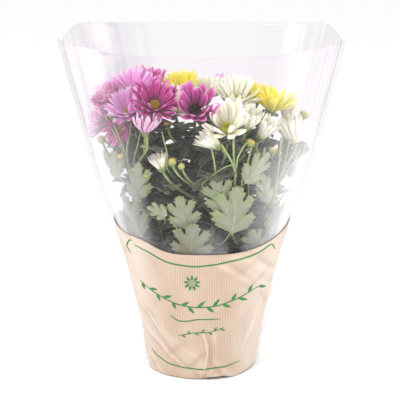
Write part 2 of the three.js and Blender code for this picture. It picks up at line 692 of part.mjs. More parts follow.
/** A blade as a closed lens with lobed sides. It starts along heading, bends away from up, and may be grown. */
function leafSolid({ base, heading, up, length, width, bend, fold, depth = 0 }, grow = 0) {
  const beta = radians(bend);
  const full = length + grow;
  const side = up.clone().cross(heading);
  const spine = (t) =>
    along(base, heading, (full * Math.sin(beta * t)) / beta, up, (full * (Math.cos(beta * t) - 1)) / beta);
  const normal = (t) => along(vec(0, 0, 0), up, Math.cos(beta * t), heading, Math.sin(beta * t));
  const keep = (p) => insideSleeve(p, PLANT_MARGIN + depth);
  const edge = (t, w, sign) => {
    const reach = w * (width + grow);
    return keep(along(spine(t), side, sign * reach * Math.cos(fold), normal(t), reach * Math.sin(fold)));
  };
  const points = [base, keep(spine(1))];
  const left = HALF_OUTLINE.map(([t, w]) => points.push(edge(t, w, 1)) - 1);
  const right = HALF_OUTLINE.map(([t, w]) => points.push(edge(t, w, -1)) - 1);
  const thick = LEAF.thickness / 2 + grow * 0.6;
  const upper = MIDRIB.map((t) => points.push(along(keep(spine(t)), normal(t), thick)) - 1);
  const lower = MIDRIB.map((t) => points.push(along(keep(spine(t)), normal(t), -thick)) - 1);
  const triangles = [];
  const half = (outline, [lowRib, highRib], flip) => {
    const rim = [0, ...outline, 1];
    const add = (p, q, r) => triangles.push(flip ? [p, r, q] : [p, q, r]);
    for (let k = 0; k < rim.length - 1; k++) add(k > SINUS ? highRib : lowRib, rim[k + 1], rim[k]);
    add(lowRib, highRib, outline[SINUS]);
  };
  half(left, upper, false);
  half(right, upper, true);
  half(left, lower, true);
  half(right, lower, false);
  return solidFrom(points, triangles);
}

/** The point of a main stem at a height. */
function stemPointAt(curve, z) {
  let [low, high] = [0, 1];
  for (let i = 0; i < 30; i++) {
    const middle = (low + high) / 2;
    if (curve.getPoint(middle).z < z) low = middle;
    else high = middle;
  }
  return curve.getPoint(low);
}

function pressedLeaf(curve, { from, base, tip, width, depth = 0, side = -1 }) {
  const start = pressedPoint(base, side, PLANT_MARGIN + depth);
  const end = pressedPoint(tip, side, PLANT_MARGIN + depth);
  const heading = end.clone().sub(start).normalize();
  const outward = vec(0, side, 0);
  const up = along(outward, heading, -outward.dot(heading)).normalize().negate();
  const length = start.distanceTo(end);
  const blade = { base: start, heading, up, length, width: length * width, bend: 4, fold: 0.02, depth };
  const root = stemPointAt(curve, from);
  const sag = along(root, start.clone().sub(root), 0.55, vec(0, 0, 1), -3);
  const stalk = [root, sag, along(start, heading, length * 0.16)];
  return { blade, stalk };
}

/** A blade that leaves base towards a compass direction, pitch degrees above level. */
function archedLeaf(base, compass, pitch, length) {
  const [a, rise] = [radians(compass), radians(pitch)];
  const out = vec(Math.cos(a), Math.sin(a), 0);
  const heading = along(vec(0, 0, Math.sin(rise)), out, Math.cos(rise));
  const up = along(vec(0, 0, Math.cos(rise)), out, -Math.sin(rise));
  const width = (LEAF.width * length) / LEAF.length;
  return { base, heading, up, length, width, bend: LEAF.bend, fold: LEAF.fold };
}

/** Where one cutting's leaves grow, before any turns away from a neighbour: up its stem, then on branches. */
function leafSites(cutting, curve, index) {
  const sites = [];
  for (let k = 0; k < SPIRAL.perStem; k++) {
    const key = 700 + index * 20 + k;
    const height = lerp(SPIRAL.lowest, cutting.crown[2], k / (SPIRAL.perStem - 1));
    const length = LEAF.length * (1 + 0.14 * wobble(key, 2));
    const pitch = SPIRAL.pitch + 8 * wobble(key, 1);
    sites.push({ base: stemPointAt(curve, height), compass: cutting.turn + SPIRAL.turn * k, pitch, length });
  }
  BLOOMS.forEach((bloom, key) => {
    if (bloom.cutting !== index || key % SPRIG.every) return;
    const path = bloomPath(curve, bloom);
    const [low, high] = [path[1], path[2]];
    const base = along(low, high.clone().sub(low), SPRIG.share);
    const outward = THREE.MathUtils.radToDeg(Math.atan2(high.y - curve.v0.y, high.x - curve.v0.x));
    const compass = outward + SPRIG.spread * wobble(key, 8);
    sites.push({ base, compass, pitch: SPRIG.pitch + 10 * wobble(key, 9), length: LEAF.length });
  });
  return sites;
}

/** A leaf is clear where it touches no neighbour and, past its stalk, nothing of its own plant either. */
function isClear(blade, neighbours, plant) {
  const { base, heading, length } = blade;
  const outerPart = { ...blade, base: along(base, heading, length * 0.2), length: length * 0.8 };
  return !touches(leafSolid(blade, LEAF.clearance), neighbours) && !touches(leafSolid(outerPart), plant);
}

/** The leaves of one cutting that the film presses flat, with their stalks. */
function pressedLeavesOf(curve, index) {
  return PRESSED_LEAVES.filter((leaf) => leaf.cutting === index).flatMap((row) => {
    const { blade, stalk } = pressedLeaf(curve, row);
    return [leafSolid(blade), sweep(stalk, [LEAF.stalkRadius, LEAF.stalkRadius, 0.6], 4)];
  });
}

/** All of one cutting's other leaves that have room. */
function archedLeavesOf(cutting, curve, index, neighbours, plant) {
  const leaves = [];
  const choices = LEAF_SCALES.flatMap((scale) => LEAF_TURNS.map((turn) => [turn, scale]));
  for (const { base, compass, pitch, length } of leafSites(cutting, curve, index)) {
    const blades = choices.map(([turn, scale]) => archedLeaf(base, compass + turn, pitch, length * scale));
    const free = blades.find((blade) => isClear(blade, neighbours, [plant, ...leaves]));
    if (free) leaves.push(leafSolid(free));
  }
  return leaves;
}

// ------------------------------------------------ the whole plant

const finish = (color, roughness, glassy) =>
  new THREE.MeshStandardMaterial({ color, roughness, metalness: 0, ...glassy });
const FINISHES = {
  pot: finish(0x2b2522, 0.6),
  soil: finish(0x3a2c22, 1),
  film: finish(0xf4f4f8, 0.1, { transparent: true, opacity: 0.25 }),
  kraft: finish(0xe0c3a4, 0.85),
  foliage: finish(0x6f8a55, 0.7),
  disc: finish(0xb5a53a, 0.8),
  darkDisc: finish(0x4a2a20, 0.8),
};

const group = new THREE.Group();
function add(name, solid, material) {
  const mesh = new THREE.Mesh(geometryOf(solid), material);
  mesh.name = name;
  group.add(mesh);
}

const pot = potSolid();
const soil = soilSolid();
add("pot", pot, FINISHES.pot);
add("soil", soil, FINISHES.soil);
add("sleeve_film", filmSolid(), FINISHES.film);
add("kraft_front", kraftSolid(-1), FINISHES.kraft);
add("kraft_back", kraftSolid(1), FINISHES.kraft);

const curves = CUTTINGS.map(mainCurve);
const wood = CUTTINGS.map((cutting, i) =>
  wasm.Manifold.union([
    mainStem(cutting, curves[i]),
    ...BLOOMS.filter((b) => b.cutting === i).map((b) => bloomBranch(curves[i], b)),
    ...BUDS.filter((b) => b.cutting === i).map((b) => budBranch(curves[i], b)),
  ]),
);

const placed = [...wood];
for (const bloom of BLOOMS) {
  const solid = bloomSolid(bloom, placed);
  add("petals_" + bloom.name, solid, finish(COLOURS[bloom.colour], 0.7));
  placed.push(solid);
  if (HABITS[bloom.habit].open < 30) continue;
  const disc = discSolid(bloom);
  add("disc_" + bloom.name, disc, bloom.eye === "dark" ? FINISHES.darkDisc : FINISHES.disc);
  placed.push(disc);
}

const blooms = placed.slice(wood.length);
const plants = wood.map((solid, i) => wasm.Manifold.union([solid, ...pressedLeavesOf(curves[i], i)]));
CUTTINGS.forEach((cutting, i) => {
  const neighbours = [...blooms, pot, soil, ...plants.filter((_, k) => k !== i)];
  const leaves = archedLeavesOf(cutting, curves[i], i, neighbours, plants[i]);
  plants[i] = wasm.Manifold.union([plants[i], ...leaves]);
  add("stem_" + cutting.name, plants[i], FINISHES.foliage);
});

export default group;
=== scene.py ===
"""Looks of a pot chrysanthemum in its clear sleeve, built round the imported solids.

Every size is in millimetres, as in the solids' own source, and becomes metres in Patch.into_object.
"""

import logging
import math
from dataclasses import dataclass, replace
from enum import Enum

import bpy
import numpy as np
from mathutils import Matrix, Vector
from mathutils.kdtree import KDTree

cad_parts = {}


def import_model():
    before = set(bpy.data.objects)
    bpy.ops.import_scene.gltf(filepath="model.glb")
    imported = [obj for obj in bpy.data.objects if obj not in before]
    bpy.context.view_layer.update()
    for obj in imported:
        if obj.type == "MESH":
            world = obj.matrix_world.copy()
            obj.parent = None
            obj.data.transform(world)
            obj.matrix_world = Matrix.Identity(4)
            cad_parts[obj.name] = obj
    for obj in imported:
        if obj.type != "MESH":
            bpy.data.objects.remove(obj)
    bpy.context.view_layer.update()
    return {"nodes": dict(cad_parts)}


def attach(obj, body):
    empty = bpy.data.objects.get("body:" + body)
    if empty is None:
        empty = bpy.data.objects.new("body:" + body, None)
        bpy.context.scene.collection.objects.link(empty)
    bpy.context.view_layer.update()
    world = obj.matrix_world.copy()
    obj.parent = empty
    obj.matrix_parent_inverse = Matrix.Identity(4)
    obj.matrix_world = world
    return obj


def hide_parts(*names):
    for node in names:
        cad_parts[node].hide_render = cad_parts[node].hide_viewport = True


Array = np.ndarray
Colour = tuple[int, int, int]
Socket = bpy.types.NodeSocket
Material = bpy.types.Material
Object = bpy.types.Object
METRES = 0.001
GOLDEN_ANGLE = 2.39996  # radians
GOLDEN_DEGREES = 137.5
BODY = "root"
LOG = logging.getLogger("chrysanthemum")


# ------------------------------------------------ small helpers


def wobble(i: int, j: int) -> float:
    """A repeatable draw from -1 to 1: the fraction of a large multiple of a sine of both whole numbers."""
    s = math.sin(i * 12.9898 + j * 78.233) * 43758.5453
    return 2 * (s - math.floor(s)) - 1


def wobbles(count: int, key: int) -> Array:
    """Repeatable draws from -1 to 1, one for each of count things."""
    s = np.sin(np.arange(count) * 12.9898 + key * 78.233) * 43758.5453
    return 2 * (s - np.floor(s)) - 1


def unit(v: Array) -> Array:
    """Each vector over its own length."""
    return v / np.linalg.norm(v, axis=-1, keepdims=True)


def vec(*xyz: float) -> Array:
    """A point or direction as an array."""
    return np.array(xyz, float)


def direction_of(compass: float, tilt: float) -> Array:
    """The direction tilt degrees off vertical, towards a compass angle."""
    a, t = math.radians(compass), math.radians(tilt)
    return vec(math.sin(t) * math.cos(a), math.sin(t) * math.sin(a), math.cos(t))


def square_to(axis: Array) -> tuple[Array, Array]:
    """Two directions square to each axis: +X less its share along it, and the axis crossed with that."""
    first = unit(vec(1, 0, 0) - axis * axis[..., :1])
    return first, np.cross(axis, first)


def smooth(edge0: float, edge1: float, x: Array) -> Array:
    """0 below edge0, 1 above edge1, and a cubic ease between."""
    t = np.clip((x - edge0) / (edge1 - edge0), 0, 1)
    return t * t * (3 - 2 * t)


def bell(x: Array, middle: float, width: float) -> Array:
    """A bell curve of height 1."""
    return np.exp(-(((x - middle) / width) ** 2))


@dataclass(frozen=True)
class Bezier:
    """A cubic Bezier curve of four points."""

    points: Array

    def at(self, share: Array | float) -> Array:
        """The points of the curve: the four corners weighed by the cubic Bernstein shares."""
        t = np.asarray(share, float)[..., None]
        a, b, c, d = self.points
        return a * (1 - t) ** 3 + 3 * b * t * (1 - t) ** 2 + 3 * c * t * t * (1 - t) + d * t**3

    def heading(self, share: float) -> Array:
        """The direction of travel at a share of the curve."""
        t = share
        a, b, c, d = self.points
        return unit((b - a) * (1 - t) ** 2 + 2 * (c - b) * t * (1 - t) + (d - c) * t * t)


# ------------------------------------------------ meshes


@dataclass
class Patch:
    """A closed surface in millimetres, with what its finish reads at each point."""

    points: Array
    quads: Array
    tris: Array
    uv: Array
    seed: Array
    finish: int = 0
    under: Array | None = None  # which quads take the next finish, as the underside of a leaf does

    @staticmethod
    def joined(patches: list["Patch"]) -> "Patch":
        """All the patches as one.

        Args:
            patches: the patches, each with its own finish number.

        Returns:
            One patch, whose under array holds a finish number for each quad and then each triangle.
        """
        starts = np.cumsum([0] + [len(p.points) for p in patches[:-1]])
        quads = np.concatenate([p.quads + n for p, n in zip(patches, starts)])
        tris = np.concatenate([p.tris + n for p, n in zip(patches, starts)])
        on_quads = [p.finish + (np.zeros(len(p.quads), int) if p.under is None else p.under) for p in patches]
        on_tris = [np.full(len(p.tris), p.finish) for p in patches]
        return Patch(
            np.concatenate([p.points for p in patches]),
            quads,
            tris,
            np.concatenate([p.uv for p in patches]),
            np.concatenate([p.seed for p in patches]),
            under=np.concatenate(on_quads + on_tris).astype(int),
        )

    def into_object(self, name: str, materials: list[Material]) -> Object:
        """The patch as an object at the origin, in metres.

        Args:
            name: the object's name.
            materials: its finishes, in the order of their numbers.

        Returns:
            The new object.
        """
        mesh = bpy.data.meshes.new(name)
        loops = np.concatenate([self.quads.ravel(), self.tris.ravel()]).astype(np.int32)
        on_quads = np.arange(len(self.quads)) * 4
        on_tris = len(self.quads) * 4 + np.arange(len(self.tris)) * 3
        mesh.vertices.add(len(self.points))
        mesh.vertices.foreach_set("co", (self.points * METRES).astype(np.float32).ravel())
        mesh.loops.add(len(loops))
        mesh.loops.foreach_set("vertex_index", loops)
        mesh.polygons.add(len(self.quads) + len(self.tris))
        mesh.polygons.foreach_set("loop_start", np.concatenate([on_quads, on_tris]).astype(np.int32))
        if self.under is not None:
            mesh.polygons.foreach_set("material_index", self.under.astype(np.int32))
        mesh.update(calc_edges=True)
        mesh.validate()
        layer = mesh.uv_layers.new(name="UVMap")
        layer.data.foreach_set("uv", self.uv[loops].astype(np.float32).ravel())
        seeds = mesh.attributes.new("seed", "FLOAT", "POINT")
        seeds.data.foreach_set("value", self.seed.astype(np.float32))
        mesh.polygons.foreach_set("use_smooth", np.full(len(mesh.polygons), True))
        for material in materials:
            mesh.materials.append(material)
        made = bpy.data.objects.new(name, mesh)
        bpy.context.scene.collection.objects.link(made)
        return made


def sheet(
    upper: Array, lower: Array, uv: Array, seed: Array | float = 0.0, finish: int = 0, two: bool = False
) -> Patch:
    """Closed thin sheets from an upper and a lower grid each: both faces, and a rim that joins their edges.

    Args:
        upper: points of the upper faces, as (sheets, rows, columns, 3) or (rows, columns, 3). Rows run along
            the sheet and columns to its left, seen from above.
        lower: points of the lower faces, in the same order.
        uv: (rows, columns, 2) surface coordinates.
        seed: one number for each sheet.
        finish: the number of the sheet's finish.
        two: True where the lower faces take the next finish.

    Returns:
        All the sheets as one patch.
    """
    if upper.ndim == 3:
        upper, lower = upper[None], lower[None]
    count, rows, columns, _ = upper.shape
    size = rows * columns
    i = np.arange(size).reshape(rows, columns)
    face = np.stack([i[:-1, :-1], i[1:, :-1], i[1:, 1:], i[:-1, 1:]], -1).reshape(-1, 4)
    edge = np.concatenate([i[:-1, 0], i[-1, :-1], i[:0:-1, -1], i[0, :0:-1]])
    ahead = np.roll(edge, -1)
    rim = np.stack([ahead, edge, edge + size, ahead + size], -1)
    quads = np.concatenate([face, face[:, ::-1] + size, rim])
    under = np.concatenate([np.zeros(len(face)), np.ones(len(face)), np.zeros(len(rim))]).astype(int) * two
    starts = np.arange(count)[:, None, None] * 2 * size
    points = np.stack([upper.reshape(count, size, 3), lower.reshape(count, size, 3)], 1).reshape(-1, 3)
    seeds = np.repeat(np.broadcast_to(np.asarray(seed, float), (count,)), 2 * size)
    return Patch(
        points,
        (quads[None] + starts).reshape(-1, 4),
        np.zeros((0, 3), int),
        np.tile(uv.reshape(size, 2), (2 * count, 1)),
        seeds,
        finish,
        np.tile(under, count),
    )


def turned(rings: Array, seed: Array | float = 0.0, finish: int = 0, along: Array | None = None) -> Patch:
    """Closed bodies of rings: a wall between each ring and the next, and a fan over each end.

    Args:
        rings: points as (bodies, rings, sides, 3) or (rings, sides, 3), anticlockwise seen from the last.
        seed: one number for each body.
        finish: the number of the body's finish.
        along: the second surface coordinate of each ring, or None for its share of the way.

    Returns:
        All the bodies as one patch.
    """
    if rings.ndim == 3:
        rings = rings[None]
    count, rows, sides, _ = rings.shape
    size = rows * sides + 2
    i = np.arange(rows * sides).reshape(rows, sides)
    onward = np.roll(i, -1, axis=1)
    walls = np.stack([i[:-1], onward[:-1], onward[1:], i[1:]], -1).reshape(-1, 4)
    foot = np.stack([np.full(sides, size - 2), onward[0], i[0]], -1)
    top = np.stack([np.full(sides, size - 1), i[-1], onward[-1]], -1)
    starts = np.arange(count)[:, None, None] * size
    poles = np.stack([rings[:, 0].mean(1), rings[:, -1].mean(1)], 1)
    points = np.concatenate([rings.reshape(count, -1, 3), poles], 1).reshape(-1, 3)
    v = np.linspace(0, 1, rows) if along is None else along
    around = np.abs(np.linspace(-1, 1, sides, endpoint=False))
    uv = np.stack(np.broadcast_arrays(around[None, :], v[:, None]), -1).reshape(-1, 2)
    uv = np.concatenate([uv, [[0.5, v[0]], [0.5, v[-1]]]])
    seeds = np.repeat(np.broadcast_to(np.asarray(seed, float), (count,)), size)
    quads = (walls[None] + starts).reshape(-1, 4)
    tris = (np.concatenate([foot, top])[None] + starts).reshape(-1, 3)
    return Patch(points, quads, tris, np.tile(uv, (count, 1)), seeds, finish)


def tube(path: Array, radii: Array, sides: int, ribs: float) -> Patch:
    """A round body along a path: a circle square to the path at each station, with five low ribs."""
    ahead = np.concatenate([path[1:], path[-1:]])
    behind = np.concatenate([path[:1], path[:-1]])
    u, w = square_to(unit(ahead - behind))
    a = np.linspace(0, 2 * np.pi, sides, endpoint=False)
    r = (radii[:, None] * (1 + ribs * np.cos(5 * a)))[..., None]
    circle = u[:, None] * np.cos(a)[:, None] + w[:, None] * np.sin(a)[:, None]
    return turned(path[:, None] + r * circle)


def ringed(at: Array, axis: Array, sides: int, radii: list, heights: list, size: float = 1.0) -> Array:
    """Rings square to axis: each has its radius, times size, and its height above at."""
    u, w = square_to(axis)
    a = np.linspace(0, 2 * np.pi, sides, endpoint=False)[None, :, None]
    reach = np.array(radii)[:, None, None] * size
    return at + reach * (u * np.cos(a) + w * np.sin(a)) + axis * np.array(heights)[:, None, None]


def spokes(axis: Array, turn: Array) -> tuple[Array, Array]:
    """The ways out from an axis and round it at each turn, shaped to go with grids of points."""
    u, w = square_to(axis)
    c, s = np.cos(turn)[:, None], np.sin(turn)[:, None]
    return (c * u + s * w)[:, None, None], (c * w - s * u)[:, None, None]


# ------------------------------------------------ finishes


class NodeSheet:
    """A material's node tree, with short ways to add and join nodes."""

    def __init__(self, name: str) -> None:
        """Starts an empty tree with an output and one Principled shader."""
        self.material = bpy.data.materials.new(name)
        self.material.use_nodes = True
        self.tree = self.material.node_tree
        self.tree.nodes.clear()
        self.output = self.tree.nodes.new("ShaderNodeOutputMaterial")
        self.shader = self.tree.nodes.new("ShaderNodeBsdfPrincipled")
        self.join(self.shader.outputs[0], self.output.inputs["Surface"])

    def join(self, source: Socket, target: Socket) -> None:
        """Links one socket to another."""
        self.tree.links.new(source, target)

    def feed(self, target: Socket, value: object) -> None:
        """Links a socket, or sets the number or colour that it holds."""
        if isinstance(value, Socket):
            self.join(value, target)
        else:
            target.default_value = value

    def coords(self, kind: str = "UV") -> Socket:
        """Object or UV coordinates."""
        return self.tree.nodes.new("ShaderNodeTexCoord").outputs[kind]

    def seed(self) -> Socket:
        """The number that each petal, leaf or crumb carries. On paper it is how far the paper stands out, for
        wear on ridges and painted shade in hollows.
        """
        node = self.tree.nodes.new("ShaderNodeAttribute")
        node.attribute_name = "seed"
        return node.outputs["Fac"]

    def math(self, kind: str, a: object, b: object = 0.5, c: object = 0.5) -> Socket:
        """One sum, product or other arithmetic of numbers or sockets."""
        node = self.tree.nodes.new("ShaderNodeMath")
        node.operation = kind
        for socket, value in zip(node.inputs, (a, b, c)):
            self.feed(socket, value)
        return node.outputs[0]

    def times(self, a: object, b: object) -> Socket:
        """The product of two numbers or sockets."""
        return self.math("MULTIPLY", a, b)

    def sloped(self, a: object, slope: object, start: object) -> Socket:
        """A number times a slope, counted on from a start."""
        return self.math("MULTIPLY_ADD", a, slope, start)

    def split(self, source: Socket) -> tuple[Socket, ...]:
        """X, Y and Z of a vector."""
        node = self.tree.nodes.new("ShaderNodeSeparateXYZ")
        self.join(source, node.inputs[0])
        return tuple(node.outputs)

    def gather(self, x: object, y: object, z: object) -> Socket:
        """A vector from three numbers or sockets."""
        node = self.tree.nodes.new("ShaderNodeCombineXYZ")
        for socket, value in zip(node.inputs, (x, y, z)):
            self.feed(socket, value)
        return node.outputs[0]

    def noise(self, source: Socket, scale: float, detail: float = 3.0) -> Socket:
        """Fractal noise, about 0.3 to 0.7."""
        node = self.tree.nodes.new("ShaderNodeTexNoise")
        self.join(source, node.inputs["Vector"])
        node.inputs["Scale"].default_value = scale
        node.inputs["Detail"].default_value = detail
        return node.outputs["Fac"]

    def stretch(self, source: Socket, scale: tuple[float, float, float]) -> Socket:
        """The coordinates, scaled."""
        node = self.tree.nodes.new("ShaderNodeMapping")
        self.join(source, node.inputs["Vector"])
        node.inputs["Scale"].default_value = scale
        return node.outputs[0]

    def ramp(self, source: Socket, stops: list[tuple[float, object]]) -> Socket:
        """A colour, or a grey for a number, from a list of places and values."""
        node = self.tree.nodes.new("ShaderNodeValToRGB")
        self.join(source, node.inputs[0])
        elements = node.color_ramp.elements
        while len(elements) < len(stops):
            elements.new(0.5)
        for element, (place, value) in zip(elements, stops):
            element.position = place
            element.color = (value,) * 3 + (1,) if isinstance(value, (int, float)) else linear(value)
        return node.outputs["Color"]

    def blend(self, share: object, a: object, b: object, kind: str = "MIX") -> Socket:
        """Colour a turned into, or worked on by, colour b."""
        node = self.tree.nodes.new("ShaderNodeMix")
        node.data_type = "RGBA"
        node.blend_type = kind
        for socket, value in zip([node.inputs[0], node.inputs[6], node.inputs[7]], (share, a, b)):
            self.feed(socket, linear(value) if isinstance(value, tuple) else value)
        return node.outputs[2]

    def shaded(self, body: Socket, share: Socket) -> Socket:
        """The colour, lighter or darker by a share."""
        return self.blend(1.0, body, self.gather(share, share, share), "MULTIPLY")

    def bump(self, height: Socket, depth: float, strength: float = 0.6) -> None:
        """Relief in the shading, depth in millimetres."""
        node = self.tree.nodes.new("ShaderNodeBump")
        node.inputs["Strength"].default_value = strength
        node.inputs["Distance"].default_value = depth * METRES
        self.join(height, node.inputs["Height"])
        self.join(node.outputs[0], self.shader.inputs["Normal"])

    def dress(self, **sockets: object) -> Material:
        """Sets or links the shader's sockets, named with _ for each space, and returns the material."""
        for name, value in sockets.items():
            value = linear(value) if isinstance(value, tuple) else value
            self.feed(self.shader.inputs[name.replace("_", " ")], value)
        return self.material


def linear(colour: Colour) -> tuple[float, float, float, float]:
    """A colour of three numbers to 255, as light: each share to the power 2.2."""
    return tuple((c / 255) ** 2.2 for c in colour) + (1.0,)


@dataclass(frozen=True)
class PetalFinish:
    """Petals: a root colour, a body colour and a tip colour, with fine veins along them."""

    name: str
    root: Colour
    body: Colour
    tip: Colour
    veins: float = 0.3
    reach: float = 0.26  # share of the length at which the root colour has gone
    glow: float = 0.3  # how much light passes through
    spread: float = 0.22  # how unlike each other the petals are
    passed: tuple[float, float, float] = (1.0, 0.8, 0.9)  # the tint of that light

    def build(self) -> Material:
        """The colour runs from root to tip, veins darken it, and each petal is a little lighter or darker."""
        n = NodeSheet(f"petals_{self.name}")
        across, along, _ = n.split(n.coords())
        own = n.seed()
        body = n.ramp(along, [(0.04, self.root), (self.reach, self.body), (0.76, self.body), (1.0, self.tip)])
        edge = n.math("ABSOLUTE", n.math("SUBTRACT", across, 0.5))
        body = n.blend(n.times(n.math("POWER", n.times(edge, 2.0), 3.0), 0.55), body, self.tip)
        vein = n.noise(n.gather(n.times(across, 11.0), along, n.times(own, 40.0)), 1.6, 2.0)
        dark = n.blend(1.0, body, tuple(int(c * 0.78) for c in self.body), "MULTIPLY")
        body = n.blend(n.times(n.ramp(vein, [(0.35, 1.0), (0.6, 0.0)]), self.veins * 1.3), body, dark)
        shade = n.sloped(own, self.spread, 0.98 - self.spread / 2)
        body = n.shaded(body, shade)
        n.bump(vein, 0.25, 0.5)
        rough = n.sloped(vein, 0.25, 0.42)
        n.shader.inputs["Subsurface Radius"].default_value = self.passed
        return n.dress(
            Base_Color=body,
            Roughness=rough,
            Sheen_Weight=0.12,
            Subsurface_Weight=self.glow,
            Subsurface_Scale=0.003,
        )


@dataclass(frozen=True)
class LeafFinish:
    """One side of a leaf: the colour between its veins and on them."""

    name: str
    blade: Colour
    shade: Colour
    vein: Colour
    margin: Colour
    gloss: float

    def build(self) -> Material:
        """Veins run along the middle and the rows that end at a tooth. Low in the sleeve it is darker and
        browner: painted shade.
        """
        n = NodeSheet(f"leaf_{self.name}")
        across, toothed, _ = n.split(n.coords())
        own = n.seed()
        off = n.math("ABSOLUTE", n.math("SUBTRACT", across, 0.5))
        rib = n.ramp(off, [(0.012, 1.0), (0.05, 0.0)])
        side = n.times(n.ramp(toothed, [(0.45, 0.0), (0.8, 0.8)]), n.ramp(off, [(0.3, 0.9), (0.49, 0.0)]))
        veins = n.math("MAXIMUM", rib, side)
        mottle = n.noise(n.coords("Object"), 130.0, 4.0)
        body = n.blend(n.ramp(mottle, [(0.38, 0.0), (0.7, 0.7)]), self.blade, self.shade)
        body = n.blend(n.times(veins, 0.6), body, self.vein)
        body = n.blend(n.ramp(off, [(0.3, 0.0), (0.5, 0.75)]), body, self.margin)
        shade = n.sloped(own, 0.3, 0.85)
        body = n.shaded(body, shade)
        # Painted shade: darker and browner low in the sleeve, below about 120 to 155 mm, with a noisy border.
        _, _, z = n.split(n.coords("Object"))
        painted_low_shade = n.sloped(mottle, 0.12, n.times(z, 4.0))
        body = n.blend(n.ramp(painted_low_shade, [(0.55, 0.75), (0.68, 0.0)]), body, (92, 84, 56))
        n.bump(n.math("ADD", n.times(veins, -0.6), mottle), 0.5, 0.5)
        rough = n.sloped(mottle, 0.3, self.gloss)
        return n.dress(Base_Color=body, Roughness=rough, Sheen_Weight=0.2)


@dataclass(frozen=True)
class GrownFinish:
    """A green part whose colour runs from foot to top, such as wood, a calyx, a bud or a disc."""

    name: str
    foot: Colour
    middle: Colour
    top: Colour
    grain: float = 260.0
    shine: float = 0.5

    def build(self) -> Material:
        """Three colours along the surface, with a fine mottle and relief."""
        n = NodeSheet(f"grown_{self.name}")
        _, along, _ = n.split(n.coords())
        mottle = n.noise(n.coords("Object"), self.grain, 3.0)
        reach = n.math("ADD", along, n.times(n.math("SUBTRACT", mottle, 0.5), 0.5))
        body = n.ramp(reach, [(0.08, self.foot), (0.5, self.middle), (0.92, self.top)])
        shade = n.sloped(mottle, 0.6, 0.7)
        body = n.shaded(body, shade)
        n.bump(mottle, 0.3, 0.5)
        rough = n.sloped(mottle, 0.3, 0.5)
        sheen = 0.1 * self.shine
        return n.dress(Base_Color=body, Roughness=rough, Specular_IOR_Level=self.shine, Sheen_Weight=sheen)


